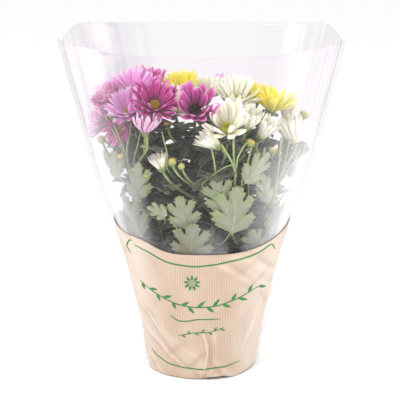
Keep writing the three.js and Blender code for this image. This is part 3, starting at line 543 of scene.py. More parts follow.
@dataclass(frozen=True)
class FilmFinish:
    """Clear film with a soft haze, more where it is seen along, tinted flutes and a sharp gloss. Some of the
    haze, set by place, is painted highlight and painted reflection.
    """

    haze: float = 0.006
    edge_haze: float = 0.21
    # The next four weights add haze by place: at the front sides partly for the film's folds and partly as
    # painted reflection, in bands near the rim as painted highlight, low down as painted reflection, and low
    # near the seams as painted highlight.
    side_haze_and_reflection: float = 0.3
    band_painted_highlight: float = 0.3
    low_painted_reflection: float = 0.075
    corner_painted_highlight: float = 0.26
    gloss: float = 0.012
    flute_tint: Colour = (239, 237, 240)
    hem_width: float = 0.0972  # metres
    widening: float = 0.5026  # metres of width for each metre of height

    def build(self) -> Material:
        """Clear, mixed with pale haze by streaks, angle, height and place across, under a thin gloss. By
        place, the haze also paints highlights and reflections.
        """
        n = NodeSheet("clear_film")
        clear = n.tree.nodes.new("ShaderNodeBsdfTransparent")
        weight = n.tree.nodes.new("ShaderNodeLayerWeight")
        weight.inputs["Blend"].default_value = 0.5
        streaks = n.noise(n.stretch(n.coords("Object"), (34, 34, 3)), 1.0, 4.0)
        along = n.math("POWER", weight.outputs["Facing"], 4.0)
        x, y, z = n.split(n.coords("Object"))
        width = n.sloped(z, self.widening, self.hem_width)
        place = n.math("ADD", n.math("DIVIDE", x, width), 0.5)
        # Paler haze towards both seams on the front, more below about 200 mm: partly the film's doubled folds
        # there, partly painted reflection.
        sides = n.ramp(place, [(0.05, 1.0), (0.15, 0.42), (0.25, 0.0), (0.7, 0.0), (0.82, 0.4), (0.94, 1.0)])
        height = n.times(z, 3.2)
        sides = n.times(sides, n.ramp(height, [(0.64, 1.0), (0.8, 0.3)]))
        front = n.ramp(n.times(y, -8.0), [(0.06, 0.0), (0.3, 1.0)])
        sides = n.times(sides, front)
        haze = n.sloped(sides, self.side_haze_and_reflection, self.haze)
        # Painted highlight: more haze low on the front, close to both seams.
        corners = n.ramp(place, [(0.03, 1.0), (0.11, 0.0), (0.89, 0.0), (0.97, 1.0)])
        corners = n.times(n.times(corners, front), n.ramp(height, [(0.5, 1.0), (0.62, 0.0)]))
        haze = n.sloped(corners, self.corner_painted_highlight, haze)
        faced = n.sloped(front, 0.7, 0.3)
        haze = n.sloped(n.times(along, faced), self.edge_haze, haze)
        way, _, _ = n.split(n.coords())
        flutes = n.noise(n.gather(n.times(way, 30.0), n.times(height, 0.8), y), 1.0, 2.0)
        beside = n.ramp(place, [(0.0, 1.0), (0.14, 0.85), (0.34, 0.0), (0.66, 0.0), (1.0, 0.5)])
        depth = n.times(beside, n.ramp(flutes, [(0.36, 0.1), (0.62, 1.0)]))
        n.feed(clear.inputs["Color"], n.blend(depth, (253, 252, 253), self.flute_tint))
        # Painted highlights: two narrow upright bands of haze near the rim, one right of the middle and one
        # near the left seam.
        middle_highlight_band = [(0.38, 0.0), (0.41, 1.0), (0.44, 1.0), (0.48, 0.0)]
        side_highlight_band = [(0.9, 0.0), (0.925, 1.0), (0.94, 1.0), (0.955, 0.0)]
        painted_highlight_bands = n.times(n.ramp(way, middle_highlight_band + side_highlight_band), n.ramp(height, [(0.86, 0.0), (0.95, 1.0)]))
        haze = n.sloped(painted_highlight_bands, self.band_painted_highlight, haze)
        # Painted reflections: pale blots of haze low in the sleeve, below about 125 to 175 mm.
        patches = n.noise(n.stretch(n.coords("Object"), (26, 26, 12)), 1.0, 2.0)
        painted_reflection_blots = n.ramp(patches, [(0.52, 0.0), (0.66, 1.0)])
        low = n.times(painted_reflection_blots, n.ramp(height, [(0.4, 1.0), (0.56, 0.0)]))
        haze = n.sloped(low, self.low_painted_reflection, haze)
        haze = n.times(haze, n.sloped(streaks, 1.2, 0.4))
        body = n.tree.nodes.new("ShaderNodeMixShader")
        n.feed(body.inputs[0], haze)
        n.join(clear.outputs[0], body.inputs[1])
        n.join(n.shader.outputs[0], body.inputs[2])
        gloss = n.tree.nodes.new("ShaderNodeBsdfGlossy")
        gloss.inputs["Roughness"].default_value = 0.1
        grazing = n.times(n.math("POWER", weight.outputs["Facing"], 5.0), faced)
        fresnel = n.sloped(grazing, 0.4, self.gloss)
        ripple = n.tree.nodes.new("ShaderNodeBump")
        ripple.inputs["Strength"].default_value = 0.35
        ripple.inputs["Distance"].default_value = 1.2 * METRES
        n.join(n.noise(n.stretch(n.coords("Object"), (22, 22, 5)), 1.0, 2.0), ripple.inputs["Height"])
        n.join(ripple.outputs[0], gloss.inputs["Normal"])
        whole = n.tree.nodes.new("ShaderNodeMixShader")
        n.join(fresnel, whole.inputs[0])
        n.join(body.outputs[0], whole.inputs[1])
        n.join(gloss.outputs[0], whole.inputs[2])
        n.join(whole.outputs[0], n.output.inputs["Surface"])
        # Painted reflection: the haze turns a cool grey-lilac low in the sleeve, away from the sides.
        painted_reflection_lilac = n.times(n.ramp(height, [(0.42, 1.0), (0.62, 0.0)]), n.math("SUBTRACT", 1.0, sides))
        tint = n.blend(painted_reflection_lilac, (241, 239, 240), (212, 215, 221))
        return n.dress(Base_Color=tint, Roughness=n.sloped(streaks, 0.2, 0.3))


@dataclass(frozen=True)
class PaperFinish:
    """Ribbed kraft paper: pale, with narrow darker stripes that follow the panel, worn paler on its ridges,
    with painted shade in its folds and creases and a painted reflection at its sides.
    """

    light: Colour = (183, 163, 145)
    stripe: Colour = (137, 106, 86)
    painted_reflection_veil: Colour = (190, 178, 167)
    pitch: float = 1.55  # millimetres from stripe to stripe

    def build(self) -> Material:
        """A cosine of the way round makes the stripes and noise fades them. The sides are paler, a painted
        reflection. Noise patches and hollows are darker, painted shade, and ridges are paler from wear.
        """
        n = NodeSheet("kraft_paper")
        round_way, _, _ = n.split(n.coords())
        place = n.coords("Object")
        wave = n.math("COSINE", n.times(round_way, 2 * math.pi * 100 / self.pitch))
        slow = n.noise(n.stretch(place, (1, 1, 0.6)), 24.0, 2.0)
        fade = n.ramp(slow, [(0.36, 0.45), (0.6, 1.0)])
        lines = n.times(n.ramp(wave, [(0.1, 0.0), (0.95, 1.0)]), fade)
        fibre = n.noise(n.stretch(place, (1, 1, 0.35)), 900.0, 3.0)
        body = n.blend(n.times(lines, 0.78), self.light, self.stripe)
        body = n.blend(n.times(fibre, 0.3), body, (176, 152, 132))
        # Painted reflection: the paper turns paler towards both sides, with a noisy border.
        off = n.math("ADD", n.math("ABSOLUTE", n.math("ADD", round_way, 0.04)), n.times(slow, 0.5))
        painted_reflection_share = n.ramp(off, [(0.58, 0.0), (0.84, 0.7)])
        body = n.blend(painted_reflection_share, body, self.painted_reflection_veil)
        # Painted shade: noise patches darken the paper, standing in for shade in its folds.
        folds = n.noise(n.stretch(n.coords(), (4, 2.6, 1)), 1.0, 2.0)
        body = n.blend(n.ramp(folds, [(0.3, 0.14), (0.5, 0.0)]), body, (150, 122, 100))
        # Ridges that stand out wear paler. Hollows and creases take painted shade.
        worn_and_shaded = n.seed()
        body = n.blend(n.ramp(worn_and_shaded, [(0.54, 0.0), (0.8, 0.5)]), body, (198, 183, 170))
        body = n.blend(n.ramp(worn_and_shaded, [(0.2, 0.26), (0.46, 0.0)]), body, (140, 114, 96))
        n.bump(n.sloped(lines, -0.5, fibre), 0.25, 0.4)
        return n.dress(Base_Color=body, Roughness=n.sloped(fibre, 0.25, 0.66), Sheen_Weight=0.05)


@dataclass(frozen=True)
class GrainFinish:
    """A plain stuff with a mottle in its colour, roughness and relief: plastic, peat, ink or floor."""

    name: str
    light: Colour
    dark: Colour
    grain: float
    rough: float
    relief: float = 0.1

    def build(self) -> Material:
        """Two colours mixed by noise on Object coordinates, and the same noise in the relief."""
        n = NodeSheet(self.name)
        mottle = n.noise(n.coords("Object"), self.grain, 5.0)
        body = n.blend(n.ramp(mottle, [(0.35, 0.0), (0.65, 1.0)]), self.light, self.dark)
        n.bump(mottle, self.relief, 0.5)
        return n.dress(Base_Color=body, Roughness=n.sloped(mottle, 0.2, self.rough - 0.1))


CREAM_LIGHT = (0.9, 1.0, 0.6)
LEMON_LIGHT = (1.0, 0.95, 0.3)
PETAL_FINISHES = {
    "magenta": PetalFinish("magenta", (108, 2, 62), (206, 34, 148), (242, 142, 216), 0.5, 0.48, 0.15),
    "deep_magenta": PetalFinish("deep_magenta", (84, 4, 46), (210, 56, 158), (246, 172, 228), 0.4, 0.58, 0.2),
    "pink": PetalFinish("pink", (222, 96, 188), (255, 164, 236), (255, 216, 250), 0.4, glow=0.48),
    "pale_pink": PetalFinish("pale_pink", (232, 156, 202), (238, 176, 214), (249, 218, 237), 0.4, glow=0.45),
    "cream": PetalFinish(
        "cream", (226, 218, 140), (251, 246, 214), (253, 250, 232), 0.15, 0.26, 0.4, 0.12, CREAM_LIGHT
    ),
    "white": PetalFinish(
        "white", (212, 220, 96), (254, 254, 224), (255, 255, 242), 0.06, 0.38, 0.45, 0.08, CREAM_LIGHT
    ),
    "yellow": PetalFinish(
        "yellow", (250, 214, 10), (255, 236, 42), (255, 244, 120), 0.15, 0.26, 0.5, 0.12, LEMON_LIGHT
    ),
}
UPPER_LEAF = LeafFinish("upper", (56, 64, 40), (34, 40, 28), (84, 94, 60), (60, 70, 38), 0.55)
UNDER_LEAF = LeafFinish("under", (134, 141, 118), (112, 124, 88), (154, 164, 132), (124, 140, 76), 0.7)
WOOD = GrownFinish("wood", (100, 112, 70), (124, 138, 86), (140, 156, 100))
CALYX_GREEN = GrownFinish("calyx", (96, 114, 62), (112, 130, 74), (140, 152, 98), 420.0)
BUD_SKIN = GrownFinish("bud", (104, 126, 62), (146, 160, 86), (214, 182, 90), 420.0)
DISC_YELLOW = GrownFinish("disc_yellow", (138, 132, 12), (172, 154, 10), (204, 166, 18), 500.0, 0.25)
DISC_GREEN = GrownFinish("disc_green", (142, 148, 34), (182, 178, 44), (212, 202, 66), 500.0, 0.25)
DISC_DARK = GrownFinish("disc_dark", (52, 22, 12), (60, 24, 12), (96, 44, 20), 500.0, 0.05)
PEAT = GrainFinish("peat", (70, 52, 38), (38, 28, 22), 700.0, 0.95, 1.2)
POT_PLASTIC = GrainFinish("pot_plastic", (44, 38, 36), (30, 26, 25), 1100.0, 0.5, 0.08)
GREEN_INK = GrainFinish("green_ink", (38, 104, 48), (60, 124, 64), 800.0, 0.75, 0.05)
FLOOR = GrainFinish("studio_floor", (247, 247, 247), (250, 250, 250), 40.0, 0.7, 0.05)


# ------------------------------------------------ the sleeve's shape


@dataclass(frozen=True)
class SleeveShape:
    """The outer face of the film: round at the hem, and a flat oval at the rim."""

    height: float = 312
    hem_radius: float = 48.6
    rim_half_width: float = 127
    rim_half_depth: float = 82
    waist_depth: float = 5.5
    waist_top: float = 0.6
    plant_margin: float = 2.6

    def section(self, z: Array) -> tuple[Array, Array, Array]:
        """Half-axes and corner power at a height: width grows evenly less a waist, depth as a sine."""
        s = np.asarray(z, float) / self.height
        drawn_in = self.waist_depth * np.sin(np.pi * np.minimum(s / self.waist_top, 1))
        a = self.hem_radius + (self.rim_half_width - self.hem_radius) * s - drawn_in
        b = self.hem_radius + (self.rim_half_depth - self.hem_radius) * np.sin(np.pi * s / 2)
        return a, b, 2 + 0.5 * s

    def point(self, angle: Array, z: Array, offset: Array | float = 0.0) -> Array:
        """A superellipse's point: half-axes times cosine or sine to the power 2 over the corner's."""
        a, b, power = self.section(z)
        c, s = np.cos(angle), np.sin(angle)
        x = (a + offset) * np.sign(c) * np.abs(c) ** (2 / power)
        y = (b + offset) * np.sign(s) * np.abs(s) ** (2 / power)
        return np.stack(np.broadcast_arrays(x, y, z), -1)

    def inside(self, p: Array, margin: float) -> Array:
        """p, drawn level towards the middle where it lies less than margin inside the face."""
        a, b, power = self.section(p[..., 2])
        total = np.abs(p[..., 0] / (a - margin)) ** power + np.abs(p[..., 1] / (b - margin)) ** power
        share = np.maximum(total ** (1 / power), 1)
        return np.stack([p[..., 0] / share, p[..., 1] / share, p[..., 2]], -1)

    def pressed(self, x: Array, z: Array, side: int, margin: Array | float) -> Array:
        """The point of the front (-1) or back (1) with that x and z, margin inside the face."""
        a, b, power = self.section(z)
        left = np.maximum(0, 1 - np.abs(x / (a - margin)) ** power)
        return np.stack(np.broadcast_arrays(x, side * (b - margin) * left ** (1 / power), z), -1)

    def spot(self, x: float, z: float, side: int, margin: float) -> Array:
        """One such point."""
        return self.pressed(np.array(float(x)), np.array(float(z)), side, margin)


SHAPE = SleeveShape()


@dataclass(frozen=True)
class Film:
    """The film's rim and hem, its flutes near the seams, and the welded seams themselves."""

    thickness: float = 0.3
    columns: int = 256
    rows: int = 56
    flute: float = 0.7  # how far the flutes stand in and out
    seam_width: float = 5.0
    seam_half: float = 0.35

    def rim(self, c: Array) -> Array:
        """The rim's height: up towards the seams, with the corners cut down."""
        return SHAPE.height + 9 * np.abs(c) ** 3 - 10 * np.maximum(0, (np.abs(c) - 0.82) / 0.18) ** 2

    def hem(self, c: Array) -> Array:
        """The hem's height: lifted a little at the right."""
        return 0.4 + 1.6 * np.maximum(0, c) ** 3

    def surface(self, angle: Array, share: Array, inset: float) -> Array:
        """Points of the film: the sleeve's face with flutes, waves that grow up and towards the seams."""
        c = np.cos(angle)
        z = self.hem(c) + (self.rim(c) - self.hem(c)) * share
        near_seam = np.abs(c) ** 5 * (1 - np.abs(c) ** 60)
        waves = np.sin(angle * 46 + 1.5 * np.sin(share * 3)) + 0.6 * np.sin(angle * 83 + 2)
        fluting = self.flute * near_seam * smooth(0.3, 0.9, share) * waves
        slack = 0.45 * np.sin(angle * 5 + 2 * share) * np.sin(np.pi * share) * (1 - np.abs(c) ** 8)
        return SHAPE.point(angle, z, np.minimum(fluting + slack, 0.9) - inset)

    def wall(self) -> Patch:
        """The closed film: outer and inner grids round the sleeve, joined at the rim and the hem."""
        angle = np.linspace(0, 2 * np.pi, self.columns, endpoint=False)[None, :]
        share = np.linspace(0, 1, self.rows)[:, None] ** 0.9
        outer, inner = (self.surface(angle, share, inset) for inset in (0.0, self.thickness))
        rings = np.concatenate([outer, inner[::-1]])
        count = len(rings)
        i = np.arange(count * self.columns).reshape(count, self.columns)
        onward, above = np.roll(i, -1, axis=1), np.roll(i, -1, axis=0)
        corner = np.roll(above, -1, axis=1)
        quads = np.stack([i, onward, corner, above], -1).reshape(-1, 4)
        uv = np.stack(np.broadcast_arrays(np.abs(np.sin(angle / 2)), np.linspace(0, 1, count)[:, None]), -1)
        points = rings.reshape(-1, 3)
        return Patch(points, quads, np.zeros((0, 3), int), uv.reshape(-1, 2), np.zeros(len(points)))

    def seam(self, side: int) -> Patch:
        """A flat welded strip that stands out from the film at one side, a little wavy towards the rim."""
        share = np.linspace(0, 1, 48)[:, None]
        out = np.linspace(0, 1, 4)[None, :]
        angle = 0.0 if side > 0 else math.pi
        c = np.array(float(side))
        z = self.hem(c) + (self.rim(c) - self.hem(c)) * share
        a, _, _ = SHAPE.section(z)
        x = side * (a - 0.2 + out * self.seam_width)
        sway = 0.8 * smooth(0.4, 1, share) * out * np.sin(share * 23 + angle)
        upper = np.stack(np.broadcast_arrays(x, sway + self.seam_half * side * (1 - 0.6 * out), z), -1)
        lower = np.stack(np.broadcast_arrays(x, sway - self.seam_half * side * (1 - 0.6 * out), z), -1)
        uv = np.stack(np.broadcast_arrays(out, share), -1)
        return sheet(lower, upper, uv)

    def build(self) -> Object:
        """The whole film as one piece."""
        patch = Patch.joined([self.wall(), self.seam(1), self.seam(-1)])
        made = patch.into_object("film", [FilmFinish().build()])
        return placed(made, "clear_film", "sleeve_film")


def placed(made: Object, slot: str, *nodes: str) -> Object:
    """Rides a piece on the body and lets it stand for the nodes.

    Args:
        made: the piece.
        slot: the record's material slot; not used.
        nodes: the solids that it stands for, or none.

    Returns:
        The piece.
    """
    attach(made, BODY)
    if nodes:
        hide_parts(*nodes)
    LOG.info("%s: %d faces", made.name, len(made.data.polygons))
    return made


@dataclass
class PaperPanel:
    """One kraft panel from seam to seam, with its swell, folds, creases and dents."""

    side: int  # -1 front, 1 back
    stand: float = 0.4
    thickness: float = 0.6
    columns: int = 232
    rows: int = 92
    edge_degrees: float = 0.05

    def top(self, c: Array) -> Array:
        """The top edge's height: bowed up to the seams."""
        return 128 + 16 * np.abs(c) ** 3.4 + (6.0 * bell(c, -0.66, 0.2) if self.side < 0 else 0)

    def hem(self, c: Array) -> Array:
        """The hem's height: lifted right of the middle, where the pot shows."""
        return 0.7 + 2.2 * smooth(0.02, 0.12, c) * smooth(0.55, 0.34, c) + 1.5 * np.maximum(0, c) ** 4

    def creased(self, angle: Array, share: Array, z: Array) -> Array:
        """Swell of the panel, folds as bent waves in patches, and dents and creases as narrow bell curves."""
        swell = 1.2 * np.sin(np.pi * share) * np.maximum(0, np.sin(3 * angle + 0.6))
        x = 58 * np.cos(angle)
        way = 58 * (angle - self.side * np.pi / 2)
        shift = 1.7 * (self.side > 0)
        steep_bend = 1.9 * np.sin(0.021 * way + 0.05 * z + shift)
        steep = np.abs(np.sin(0.085 * way + 0.04 * z + steep_bend + shift))
        cross_bend = 1.6 * np.sin(0.037 * way - 0.02 * z + 0.5)
        cross = np.abs(np.sin(0.05 * way - 0.08 * z + cross_bend + 2 + 2 * shift))
        patches = np.sin(0.045 * way + 0.055 * z + 1.5 * np.sin(0.05 * z + 0.03 * way) + 2 * shift)
        folded = (steep + 0.8 * cross) * (0.2 + 0.8 * smooth(-0.6, 0.8, patches))
        if self.side > 0:
            line = x + 0.12 * z
            return 0.5 + swell + 0.8 * folded + 0.4 * bell(line, 6, 2.4) - 0.3 * bell(line, 12, 5)
        curve = x - 4.6 + 3.2 * ((z - 28) / 18) ** 2
        crease = 1.1 * bell(curve, 0, 0.9) * smooth(54, 44, z) - 1.1 * bell(curve, 4, 3.4) * smooth(56, 40, z)
        pinch = 1.2 * bell(x + 46 - 0.5 * (62 - z), 0, 1.3) * bell(z, 54, 11)
        left = -1.2 * bell(x, -42, 6) * bell(z, 42, 20) - 1.1 * bell(x + 0.3 * z, -18, 5) * bell(z, 92, 18)
        right = 1.2 * bell(x - 0.2 * (z - 60), 46, 2.2) * bell(z, 52, 28)
        right = right - 1.5 * bell(x, 38, 5) * bell(z, 56, 22)
        slant = x + 0.8 * z
        shoulder = bell(slant, 132, 3.0) * bell(z, 104, 14) - 0.9 * bell(slant, 124, 4.5) * bell(z, 100, 16)
        ripples = 0.3 * np.sin(0.33 * x + 0.05 * z) * np.sin(0.09 * z + 0.6)
        ripples = ripples + 0.2 * np.sin(0.21 * x - 0.17 * z)
        calm = 1 - 0.75 * bell(x, 0, 26) * smooth(40, 70, z)
        return 0.5 + swell + crease + pinch + left + right + shoulder + ripples + 1.5 * folded * calm

    def relief(self, angle: Array, share: Array, z: Array) -> Array:
        """How far the panel stands out: creased, close to the film at its top, and level at the seams."""
        hug = 0.3 + 0.7 * smooth(0, 0.08, 1 - share)
        off = smooth(0, 0.05, 1 - share)
        level = 0.7 + (self.creased(angle, share, z) * hug - 0.7) * self.free(angle)
        return np.maximum(level * off, 0.15) - 0.1 * (1 - off)

    def free(self, angle: Array) -> Array:
        """How free of the seams the panel is: 0 on them and 1 well away."""
        return smooth(0.0, 0.3, np.abs(np.sin(angle)))

    def wear_and_crease_shade(self, angle: Array, share: Array, z: Array) -> Array:
        """How far each point stands out from those about it, in millimetres, with a half as the level. By it
        the paper wears paler on ridges and takes painted shade in hollows.
        """
        reach = 3
        shape = self.creased(angle, share, z)
        rows, columns = shape.shape
        padded = np.pad(shape, reach, mode="edge")
        shifts = [(a, b) for a in (0, reach, 2 * reach) for b in (0, reach, 2 * reach)]
        about = np.mean([padded[a : a + rows, b : b + columns] for a, b in shifts], axis=0)
        return np.clip(0.5 + (shape - about) * self.free(angle), 0, 1)

    def grid(self, offset: float) -> tuple[Array, Array, Array]:
        """Points of one face of the panel, their decimetres round and share of height, and how far they stand
        out, for wear and painted shade.
        """
        turn = np.radians(np.linspace(self.edge_degrees, 180 - self.edge_degrees, self.columns))[None, :]
        angle = turn if self.side > 0 else turn - np.pi
        share = np.linspace(0, 1, self.rows)[:, None]
        c = np.cos(angle)
        z = self.hem(c) + (self.top(c) - self.hem(c)) * share
        points = SHAPE.point(angle, z, offset + self.relief(angle, share, z))
        wear_and_crease_shade = self.wear_and_crease_shade(angle, share, z)
        middle = len(turn[0]) // 2
        steps = np.linalg.norm(np.diff(points, axis=1), axis=-1)
        way = np.concatenate([np.zeros((self.rows, 1)), np.cumsum(steps, axis=1)], 1)
        way -= way[:, middle : middle + 1]
        return points, np.stack(np.broadcast_arrays(way / 100, share), -1), wear_and_crease_shade

    def on(self, x: Array, z: Array, lift: float) -> Array:
        """The point of the panel's outer face with that x and z, lifted off it."""
        a, _, power = SHAPE.section(z)
        out = 1.0
        for _ in range(6):
            c = np.sign(x) * np.minimum(np.abs(x) / (a + out), 1) ** (power / 2)
            angle = self.side * np.arccos(c)
            share = np.clip((z - self.hem(c)) / (self.top(c) - self.hem(c)), 0, 1)
            out = self.relief(angle, share, z) + self.stand + self.thickness
        return SHAPE.point(angle, z, out + lift)

    def build(self, name: str, node: str, paper: Material) -> Object:
        """The panel as one closed sheet."""
        outer, uv, wear_and_crease_shade = self.grid(self.stand + self.thickness)
        inner, _, _ = self.grid(self.stand)
        patch = sheet(inner, outer, uv)
        patch.seed = np.concatenate([1 - wear_and_crease_shade.ravel(), wear_and_crease_shade.ravel()])
        return placed(patch.into_object(name, [paper]), "kraft_paper", node)


@dataclass
class PaperPrint:
    """The green line work on the front panel, as ink strips that lie on the paper."""

    panel: PaperPanel
    lift: float = 0.03
    ink: float = 0.12

    # Points x, z of each drawn line, and how wide the pen was.
    frame_top: tuple = ((-61.7, 131.0), (-49.2, 127.4), (-38.4, 122.4), (-27.7, 119.1), (-8.6, 117.0),
                        (7.4, 118.2), (23.4, 121.0), (44.8, 124.3), (54.6, 127.0), (63.3, 130.6),
                        (67.1, 123.9))
    frame_left: tuple = ((-64.0, 134.5), (-66.2, 133.8), (-68.8, 127.3), (-64.9, 120.5))
    frame_foot: tuple = ((-47.0, 22.0), (-40.9, 17.3), (-29.7, 13.4), (-17.5, 12.3), (4.4, 12.0),
                         (24.1, 12.9), (35.2, 15.1))
    flourish: tuple = ((-29.0, 66.2), (-22.7, 61.7), (-15.1, 61.3), (-4.3, 63.6), (5.4, 63.6), (16.8, 63.1))
    sprig: tuple = ((-57.1, 94.5), (-38.5, 84.2), (-15.5, 77.0), (7.3, 76.4), (30.1, 81.6), (55.3, 91.4))
    twig: tuple = ((-22.0, 46.0), (-8.0, 49.5), (6.0, 50.0), (20.0, 54.0))
    daisy_middle: tuple = (-9.0, 100.5)

    def line(self, corners: tuple, width: float) -> Patch:
        """A strip along a smooth path through the corners, thinner at both ends."""
        path = rounded(np.array(corners, float), 8)
        ahead = unit(np.gradient(path, axis=0))
        normal = np.stack([-ahead[:, 1], ahead[:, 0]], -1)
        share = np.linspace(0, 1, len(path))
        half = 0.5 * width * (0.45 + 0.55 * np.minimum(1, np.minimum(share, 1 - share) * 7))
        across = np.linspace(-1, 1, 3)
        flat = path[:, None] + normal[:, None] * (half[:, None] * across)[..., None]
        return self.laid(flat)

    def laid(self, flat: Array) -> Patch:
        """A grid of x, z points as a thin closed strip on the paper."""
        upper, lower = (self.panel.on(flat[..., 0], flat[..., 1], h) for h in (self.lift + self.ink, -0.2))
        rows, columns = flat.shape[:2]
        uv = np.stack(np.meshgrid(np.linspace(0, 1, columns), np.linspace(0, 1, rows)), -1)
        return sheet(lower, upper, uv)

    def leaf(self, foot: Array, turn: float, length: float, width: float) -> Patch:
        """A drawn leaf: a pointed oval, half its width the sine of the way along it."""
        s = np.linspace(0.02, 0.98, 9)[:, None]
        t = np.linspace(-1, 1, 3)[None, :]
        u, w = np.array([math.cos(turn), math.sin(turn)]), np.array([-math.sin(turn), math.cos(turn)])
        half = 0.5 * width * np.sin(np.pi * s**0.8) + 0.06
        flat = foot + (s * length + 0 * t)[..., None] * u + (t * half)[..., None] * w
        return self.laid(flat)

    def twigs(self, corners: tuple, count: int, length: float) -> list[Patch]:
        """Leaves in pairs along a drawn stem."""
        path = rounded(np.array(corners, float), 8)
        ahead = np.gradient(path, axis=0)
        made = []
        for k in range(count):
            at = int((k + 0.7) / count * (len(path) - 1))
            turn = math.atan2(ahead[at, 1], ahead[at, 0])
            side = 0.75 if k % 2 else -0.75
            made.append(self.leaf(path[at], turn + side, length * (1 + 0.15 * wobble(k, 5)), length * 0.34))
        return made

    def daisy(self) -> list[Patch]:
        """A plain drawn daisy: nine petals round a ring."""
        middle = np.array(self.daisy_middle)
        petals = []
        for k in range(9):
            turn = 2 * math.pi * k / 9 + 0.2
            foot = middle + 2.4 * np.array([math.cos(turn), math.sin(turn)])
            petals.append(self.leaf(foot, turn, 5.6, 2.3))
        x, y = middle
        ring = tuple((x + 1.5 * math.cos(a), y + 1.5 * math.sin(a)) for a in np.linspace(0, 6.2, 9))
        return petals + [self.line(ring, 0.7)]

    def build(self) -> Object:
        """All the line work as one piece."""
        lines = [
            self.line(self.frame_top, 1.5),
            self.line(self.frame_left, 1.2),
            self.line(self.frame_foot, 1.3),
            self.line(self.flourish, 1.2),
            self.line(self.sprig, 1.2),
            self.line(self.twig, 0.9),
        ]
        lines += self.twigs(self.sprig, 15, 8.5) + self.twigs(self.twig, 7, 5.0) + self.daisy()
        made = Patch.joined(lines).into_object("paper_print", [GREEN_INK.build()])
        return placed(made, "kraft_paper")


def rounded(corners: Array, steps: int) -> Array:
    """A smooth path through corners: a Catmull-Rom spline, whose slope at each is half the way past it."""
    ends = np.concatenate([[2 * corners[0] - corners[1]], corners, [2 * corners[-1] - corners[-2]]])
    t = np.linspace(0, 1, steps, endpoint=False)[None, :, None]
    p0, p1, p2, p3 = (ends[k : len(ends) - 3 + k, None] for k in range(4))
    path = p1 + 0.5 * t * (p2 - p0 + t * (2 * p0 - 5 * p1 + 4 * p2 - p3 + t * (3 * p1 - p0 - 3 * p2 + p3)))
    return np.concatenate([path.reshape(-1, corners.shape[1]), corners[-1:]])


@dataclass
class Soil:
    """Peat up to the pot's neck, with an uneven top and crumbs lying on it."""

    surface: float = 98
    floor: float = 2.3
    crumbs: int = 320
    foot_radius: float = 47.6
    rim_radius: float = 60.4
    rim_height: float = 97
    room: float = 2.2

    def radius(self, z: Array | float) -> Array | float:
        """The pot's inner wall less a little room."""
        return self.foot_radius + (self.rim_radius - self.foot_radius) * z / self.rim_height - self.room

    def height(self, x: Array, y: Array) -> Array:
        """The top's height: broad swells and finer lumps, falling to the pot's wall."""
        edge = smooth(40, 57, np.hypot(x, y))
        swell = 1.6 * np.sin(x * 0.31) * np.cos(y * 0.27 + 1)
        lumps = 0.9 * np.sin(x * 0.83 + 1.3 * np.sin(y * 0.7)) * np.sin(y * 0.91 + 1.1 * np.sin(x * 0.62))
        fine = 0.45 * np.sin(x * 2.3 + 2 * np.sin(y * 1.9)) * np.sin(y * 2.6)
        return self.surface + (swell + lumps + fine) * (1 - edge) - 3.4 * edge

    def body(self) -> Patch:
        """A turned body: out over the floor, up the wall, and in over the top."""
        sides = 96
        a = np.linspace(0, 2 * np.pi, sides, endpoint=False)[None, :]
        wall_z = np.linspace(self.floor, self.surface - 4, 8)
        wall_r = self.radius(wall_z)
        top_r = np.linspace(wall_r[-1] - 0.6, 1, 34)
        r = np.concatenate([[wall_r[0] * 0.5, wall_r[0] - 1], wall_r, top_r])[:, None]
        x, y = r * np.cos(a), r * np.sin(a)
        low = np.concatenate([[self.floor] * 2, wall_z])[:, None] + 0 * a
        z = np.concatenate([low, self.height(x[10:], y[10:])])
        return turned(np.stack([x, y, z], -1))

    def lumps(self) -> Patch:
        """Crumbs of bark and peat: small rough rings of six corners, spread by the golden angle."""
        k = np.arange(self.crumbs)
        a, r = k * GOLDEN_ANGLE, 54 * np.sqrt((k + 0.5) / self.crumbs)
        x, y = r * np.cos(a), r * np.sin(a)
        size = 0.9 + 0.55 * wobbles(self.crumbs, 3)
        turn = np.linspace(0, 2 * np.pi, 6, endpoint=False)[None, None, :]
        share = np.array([0.6, 1.0, 0.62])[None, :, None]
        rough = 1 + 0.3 * wobbles(self.crumbs * 18, 4).reshape(self.crumbs, 3, 6)
        reach = size[:, None, None] * share * rough
        rise = np.array([-0.4, 0.25, 0.7])[None, :, None]
        z = self.height(x, y)[:, None, None] + size[:, None, None] * rise
        spin = turn + 3 * wobbles(self.crumbs, 5)[:, None, None]
        stretch = 1 + 0.5 * wobbles(self.crumbs, 6)[:, None, None]
        px = x[:, None, None] + reach * np.cos(spin) * stretch
        py = y[:, None, None] + reach * np.sin(spin)
        return turned(np.stack(np.broadcast_arrays(px, py, z), -1), wobbles(self.crumbs, 7))

    def build(self) -> Object:
        """Soil and crumbs as one piece."""
        made = Patch.joined([self.body(), self.lumps()]).into_object("peat", [PEAT.build()])
        return placed(made, "peat", "soil")


# ------------------------------------------------ what the solids say


class NodePoints:
    """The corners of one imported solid, to see which of several computed points is one of them."""

    def __init__(self, node: Object) -> None:
        """Sorts the node's corners into a tree."""
        corners = node.data.vertices
        self.tree = KDTree(len(corners))
        for i, corner in enumerate(corners):
            self.tree.insert(corner.co, i)
        self.tree.balance()

    def has(self, point: Array, reach: float = 0.04) -> bool:
        """True if a corner lies within reach of the point, both in millimetres."""
        return self.tree.find(Vector(point * METRES))[2] < reach * METRES


# ------------------------------------------------ the plants


STEM_FOOT = 104  # height where the main stems are seen to start
ROOT_END = 76
FIRST_LEAF = 116
STEM_LEAVES = 6


